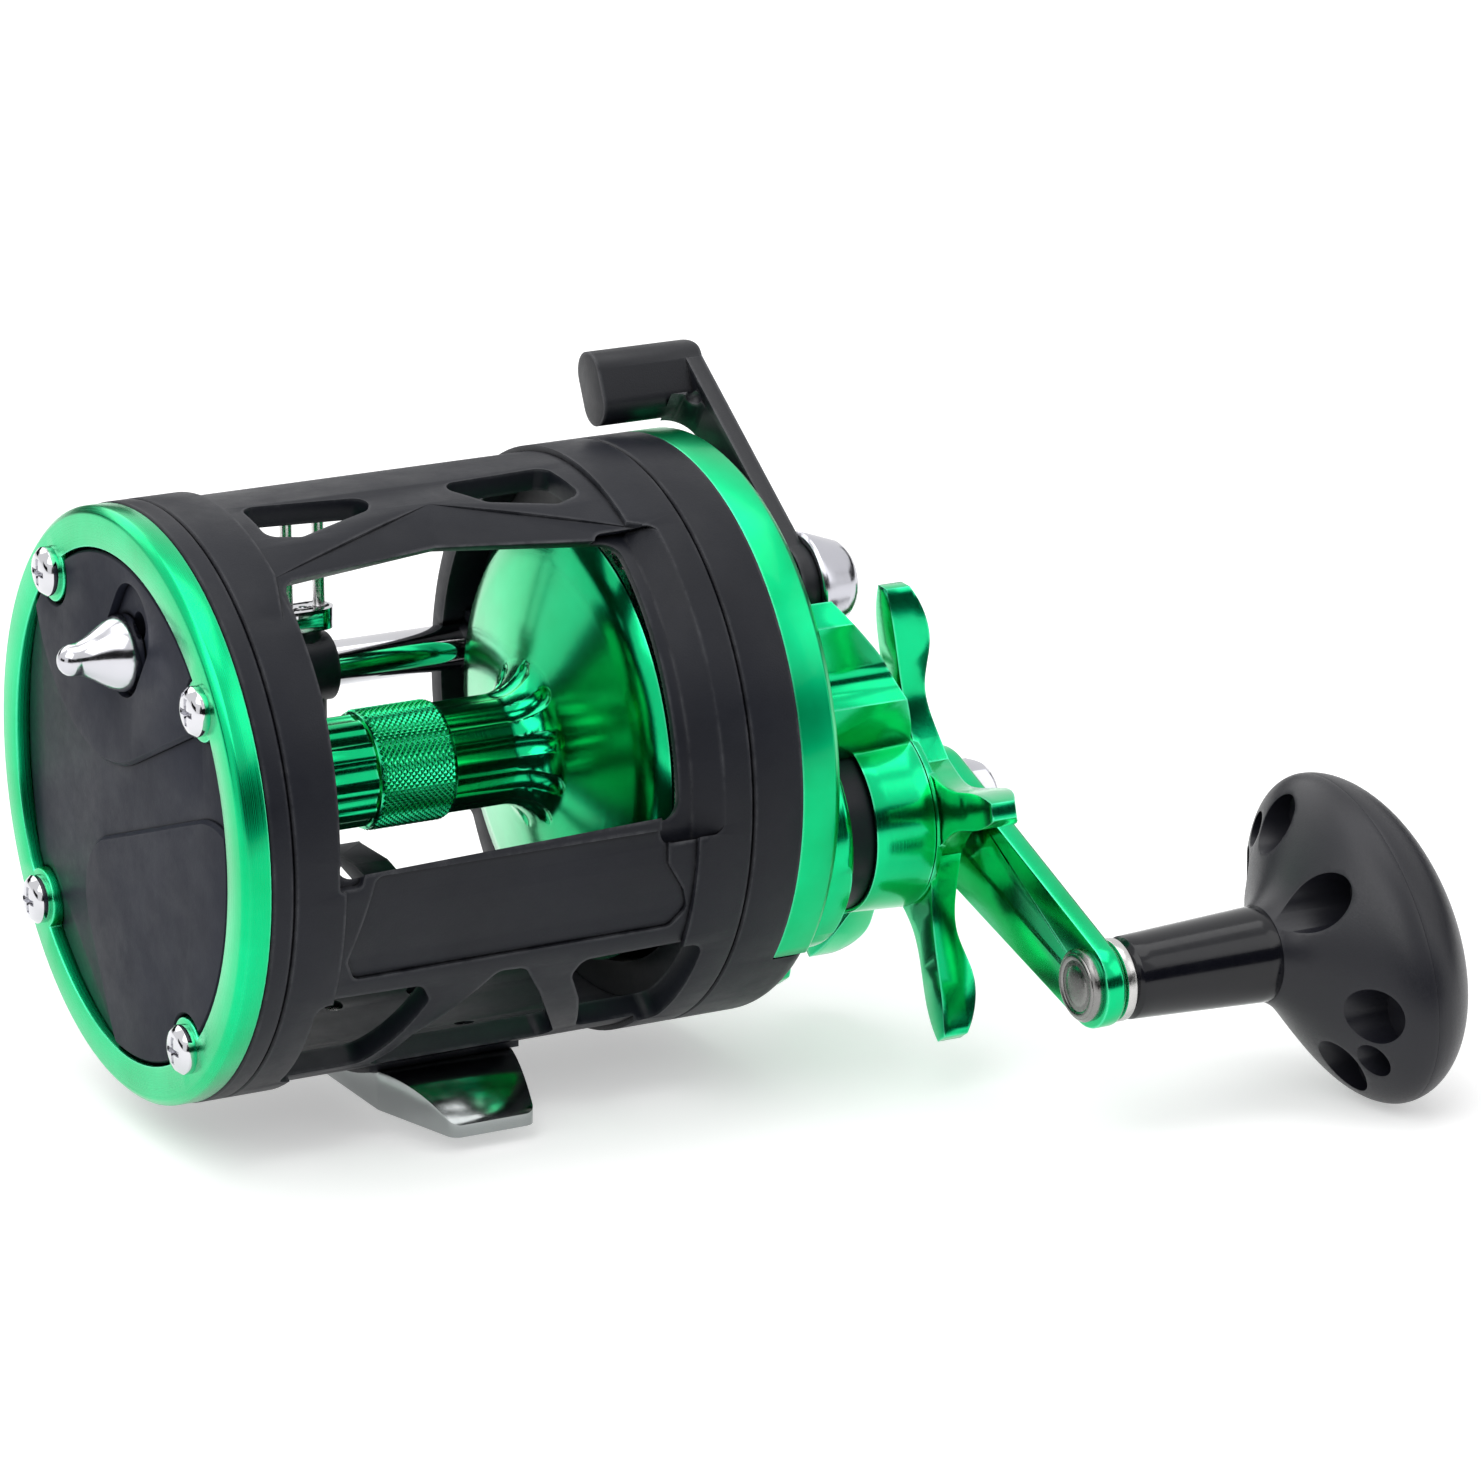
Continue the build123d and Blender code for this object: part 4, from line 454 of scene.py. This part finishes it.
def finishPiece(piece, material, width):
    piece.data.materials.clear()
    piece.data.materials.append(finishes[material])
    join = piece.modifiers.new("join", "NODES")
    join.node_group = welding
    bevel = piece.modifiers.new("edge", "BEVEL")
    bevel.width = width * mm
    bevel.segments = softening["steps"]
    bevel.limit_method = "ANGLE"
    bevel.angle_limit = radians(softening["cornerFrom"])
    bevel.use_clamp_overlap = True
    bevel.harden_normals = False
    smooth = piece.modifiers.new("smooth", "NODES")
    smooth.node_group = smoothing


def dressBenchPieces():
    worn = {node: finish for finish, members in wears.items() for node in members}
    for name, piece in nodes.items():
        width = softening["wide"].get(name, softening["plain"])
        finishPiece(piece, worn.get(name, "stainless"), width)
    print("bench pieces dressed:", len(nodes))


def pointRound(axis, x, radius, turn):
    return x, axis.y + radius * cos(turn), axis.z + radius * sin(turn)


def joinRings(shape, first, second):
    # quads from one closed ring of points to the next
    count = len(first)
    for step in range(count):
        following = (step + 1) % count
        shape.faces.new((first[step], first[following], second[following], second[step]))


def makePiece(name, shape, finish):
    bmesh.ops.recalc_face_normals(shape, faces=shape.faces)
    mesh = bpy.data.meshes.new(name)
    shape.to_mesh(mesh)
    shape.free()
    piece = bpy.data.objects.new(name, mesh)
    bpy.context.scene.collection.objects.link(piece)
    mesh.materials.append(finishes[finish])
    return piece


# the cut grip in the middle of the spool, in millimetres
knurl = {
    "halfLength": 4.78,
    "root": 6.97,  # radius of the bottoms of the cuts
    "height": 0.24,
    "rimDrop": 0.05,  # how far both ends dip under the spool's skin
    "chamfer": 0.018,
    "around": 56,  # diamonds round the band
    "along": 13,
}


def buildKnurl():
    # a lattice whose points lie low and high by turns, so that four facets rise to each diamond's point
    columns, rows = 2 * knurl["around"], 2 * knurl["along"]
    shape = bmesh.new()
    grid = []
    for row in range(rows + 1):
        x = spoolAxis.x + (2 * row / rows - 1) * knurl["halfLength"] * mm
        ring = []
        for column in range(columns):
            radius = knurl["root"]
            if row in (0, rows):
                radius -= knurl["rimDrop"]
            elif (row + column) % 2 == 1:
                radius += knurl["height"]
            turn = 2 * pi * column / columns
            ring.append(shape.verts.new(pointRound(spoolAxis, x, radius * mm, turn)))
        grid.append(ring)
    for row in range(rows):
        for column in range(columns):
            following = (column + 1) % columns
            a, b = grid[row][column], grid[row][following]
            c, d = grid[row + 1][following], grid[row + 1][column]
            low = (row + column) % 2 == 0
            for face in ((a, b, c), (a, c, d)) if low else ((a, b, d), (b, c, d)):
                shape.faces.new(face)
    piece = makePiece("spool_knurl", shape, "anodisedKnurl")
    edge = piece.modifiers.new("edge", "BEVEL")
    edge.width = knurl["chamfer"] * mm
    edge.segments = 1
    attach(piece, "spool")
    print("knurl cut:", knurl["around"], "by", knurl["along"])


# the turned face of the knob's rivet
rivetFace = {
    "steps": 64,
    # radius and height over the flat of the head, in millimetres: a low dome, a groove and a rounded rim
    "profile": [
        (0.02, 0.26), (0.9, 0.24), (1.7, 0.18), (2.3, 0.08), (2.5, -0.04), (3.0, -0.04),
        (3.1, 0.1), (3.3, 0.2), (3.55, 0.22), (3.75, 0.15), (3.85, 0.0), (3.87, -0.04),
    ],
}


def buildRivetFace():
    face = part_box("knob_spindle")[0][0]
    turns = [2 * pi * step / rivetFace["steps"] for step in range(rivetFace["steps"])]
    shape = bmesh.new()
    rings = []
    for radius, height in rivetFace["profile"]:
        x = face - height * mm
        rings.append([shape.verts.new(pointRound(knobAxis, x, radius * mm, turn)) for turn in turns])
    shape.faces.new(rings[0])
    for inner, outer in zip(rings, rings[1:]):
        joinRings(shape, inner, outer)
    for polygon in shape.faces:
        polygon.smooth = True
    piece = makePiece("rivet_face", shape, "pewter")
    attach(piece, "crank")
    print("rivet face turned")


# the coil springs over the clutch yoke's posts, in millimetres
coil = {
    "reach": 1.67,  # outer radius of the coil
    "wire": 0.13,  # radius of the wire
    "turns": 4,
    "closing": 0.5,  # how much closer the turns lie at both ends
    "perTurn": 32,
    "round": 8,
}


def coilPoint(centre, low, high, share, angle):
    # a point on the wire's skin, share of the way along it
    wire = coil["wire"] * mm
    run = high - low - 2 * wire
    along = low + wire + run * (share - coil["closing"] * sin(2 * pi * share) / (2 * pi))
    radius = coil["reach"] * mm + wire * (cos(angle) - 1)
    return pointRound(centre, along + wire * sin(angle), radius, 2 * pi * coil["turns"] * share)


def buildCoils():
    low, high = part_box("yoke_springs")
    inset = Vector((0, coil["reach"] * mm, coil["reach"] * mm))
    posts = (low + inset, high - inset)
    steps = coil["turns"] * coil["perTurn"]
    angles = [2 * pi * corner / coil["round"] for corner in range(coil["round"])]
    shape = bmesh.new()
    for centre in posts:
        rings = []
        for step in range(steps + 1):
            points = [coilPoint(centre, low.x, high.x, step / steps, angle) for angle in angles]
            rings.append([shape.verts.new(point) for point in points])
        for first, second in zip(rings, rings[1:]):
            joinRings(shape, first, second)
        shape.faces.new(rings[0])
        shape.faces.new(rings[-1])
    for polygon in shape.faces:
        polygon.smooth = len(polygon.verts) == 4
    piece = makePiece("yoke_coils", shape, "stainless")
    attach(piece, "base")
    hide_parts("yoke_springs")
    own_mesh(piece)
    print("coils wound:", len(posts))


studio = {
    "floorColour": (0.80, 0.80, 0.80),
    "floorGlow": 0.42,  # lifts the paper to white where nothing shades it
    "floorHalf": 4.0,
    "floorGap": 0.4 * mm,
    "roomLevel": 0.55,
    "lamps": [
        # name, place, size, watts
        ("key", (-0.75, -0.45, 1.05), (1.2, 0.9), 6.5),
        ("fill", (0.9, -0.8, 0.7), (0.75, 1.1), 2.4),
        ("top", (0.05, 0.05, 1.2), (1.3, 0.8), 5.0),
        ("back", (-0.2, 1.0, 0.8), (1.1, 0.75), 3.2),
    ],
    "target": (0.03, 0.0, 0.04),
    "screens": [
        # dark cloths round the table, which only the gloss sees: from and to in degrees, low, high, distance
        (-150, -35, 0.02, 0.62, 1.3),
        (-15, 40, 0.0, 0.42, 1.4),
        (65, 120, 0.1, 0.50, 1.4),
        (150, 185, 0.05, 0.36, 1.4),
    ],
    "screenColour": (0.012, 0.012, 0.013),
    "screenSteps": 12,
}


def addLamp(name, place, size, watts):
    data = bpy.data.lights.new(name, "AREA")
    data.shape = "RECTANGLE"
    data.size, data.size_y = size
    data.energy = watts
    lamp = bpy.data.objects.new(name, data)
    lamp.location = place
    aim = Vector(studio["target"]) - Vector(place)
    lamp.rotation_euler = aim.to_track_quat("-Z", "Y").to_euler()
    bpy.context.scene.collection.objects.link(lamp)


def seenDirectly(tree):
    # 1 for what the eye, a mirror or a lens sees, 0 for light that falls on the object
    path = tree.nodes.new("ShaderNodeLightPath")
    eyeOrMirror = maths(tree, "MAXIMUM", path.outputs["Is Camera Ray"], path.outputs["Is Glossy Ray"])
    return maths(tree, "MAXIMUM", eyeOrMirror, path.outputs["Is Transmission Ray"])


def mattMaterial(name, colour):
    material, tree, shader = newMaterial(name)
    shader.inputs["Base Color"].default_value = (*colour, 1)
    shader.inputs["Roughness"].default_value = 1.0
    shader.inputs["Specular IOR Level"].default_value = 0.0
    return material, tree, shader


def addSheet(name, points, faces, material):
    mesh = bpy.data.meshes.new(name)
    mesh.from_pydata(points, [], faces)
    sheet = bpy.data.objects.new(name, mesh)
    bpy.context.scene.collection.objects.link(sheet)
    mesh.materials.append(material)
    return sheet


def buildRoom():
    world = bpy.data.worlds.new("room")
    bpy.context.scene.world = world
    world.use_nodes = True
    tree = world.node_tree
    tree.nodes.clear()
    output = tree.nodes.new("ShaderNodeOutputWorld")
    background = tree.nodes.new("ShaderNodeBackground")
    level = mapRange(tree, seenDirectly(tree), 0.0, 1.0, studio["roomLevel"], 1.0)
    tree.links.new(level, background.inputs["Strength"])
    background.inputs["Color"].default_value = (1, 1, 1, 1)
    tree.links.new(background.outputs[0], output.inputs[0])


def buildFloor():
    material, tree, shader = mattMaterial("floorPaper", studio["floorColour"])
    shader.inputs["Emission Color"].default_value = (1, 1, 1, 1)
    glow = maths(tree, "MULTIPLY", seenDirectly(tree), studio["floorGlow"])
    tree.links.new(glow, shader.inputs["Emission Strength"])
    half, height = studio["floorHalf"], cadLow.z - studio["floorGap"]
    points = [(-half, -half, height), (half, -half, height), (half, half, height), (-half, half, height)]
    floor = addSheet("floor", points, [(0, 1, 2, 3)], material)


def buildScreen(index, material, start, end, low, high, distance):
    steps = studio["screenSteps"]
    points = []
    for step in range(steps + 1):
        turn = radians(start + (end - start) * step / steps)
        for height in (low, high):
            points.append((distance * cos(turn), distance * sin(turn), height))
    faces = [(2 * i, 2 * i + 2, 2 * i + 3, 2 * i + 1) for i in range(steps)]
    screen = addSheet("screen%d" % index, points, faces, material)
    screen.visible_camera = False
    screen.visible_diffuse = False
    screen.visible_shadow = False


def buildStage():
    buildRoom()
    buildFloor()
    for lamp in studio["lamps"]:
        addLamp(*lamp)
    cloth = mattMaterial("screenCloth", studio["screenColour"])[0]
    for index, screen in enumerate(studio["screens"]):
        buildScreen(index, cloth, *screen)
    print("stage built")


setCamera()
dressBenchPieces()
buildKnurl()
buildRivetFace()
buildCoils()
buildStage()
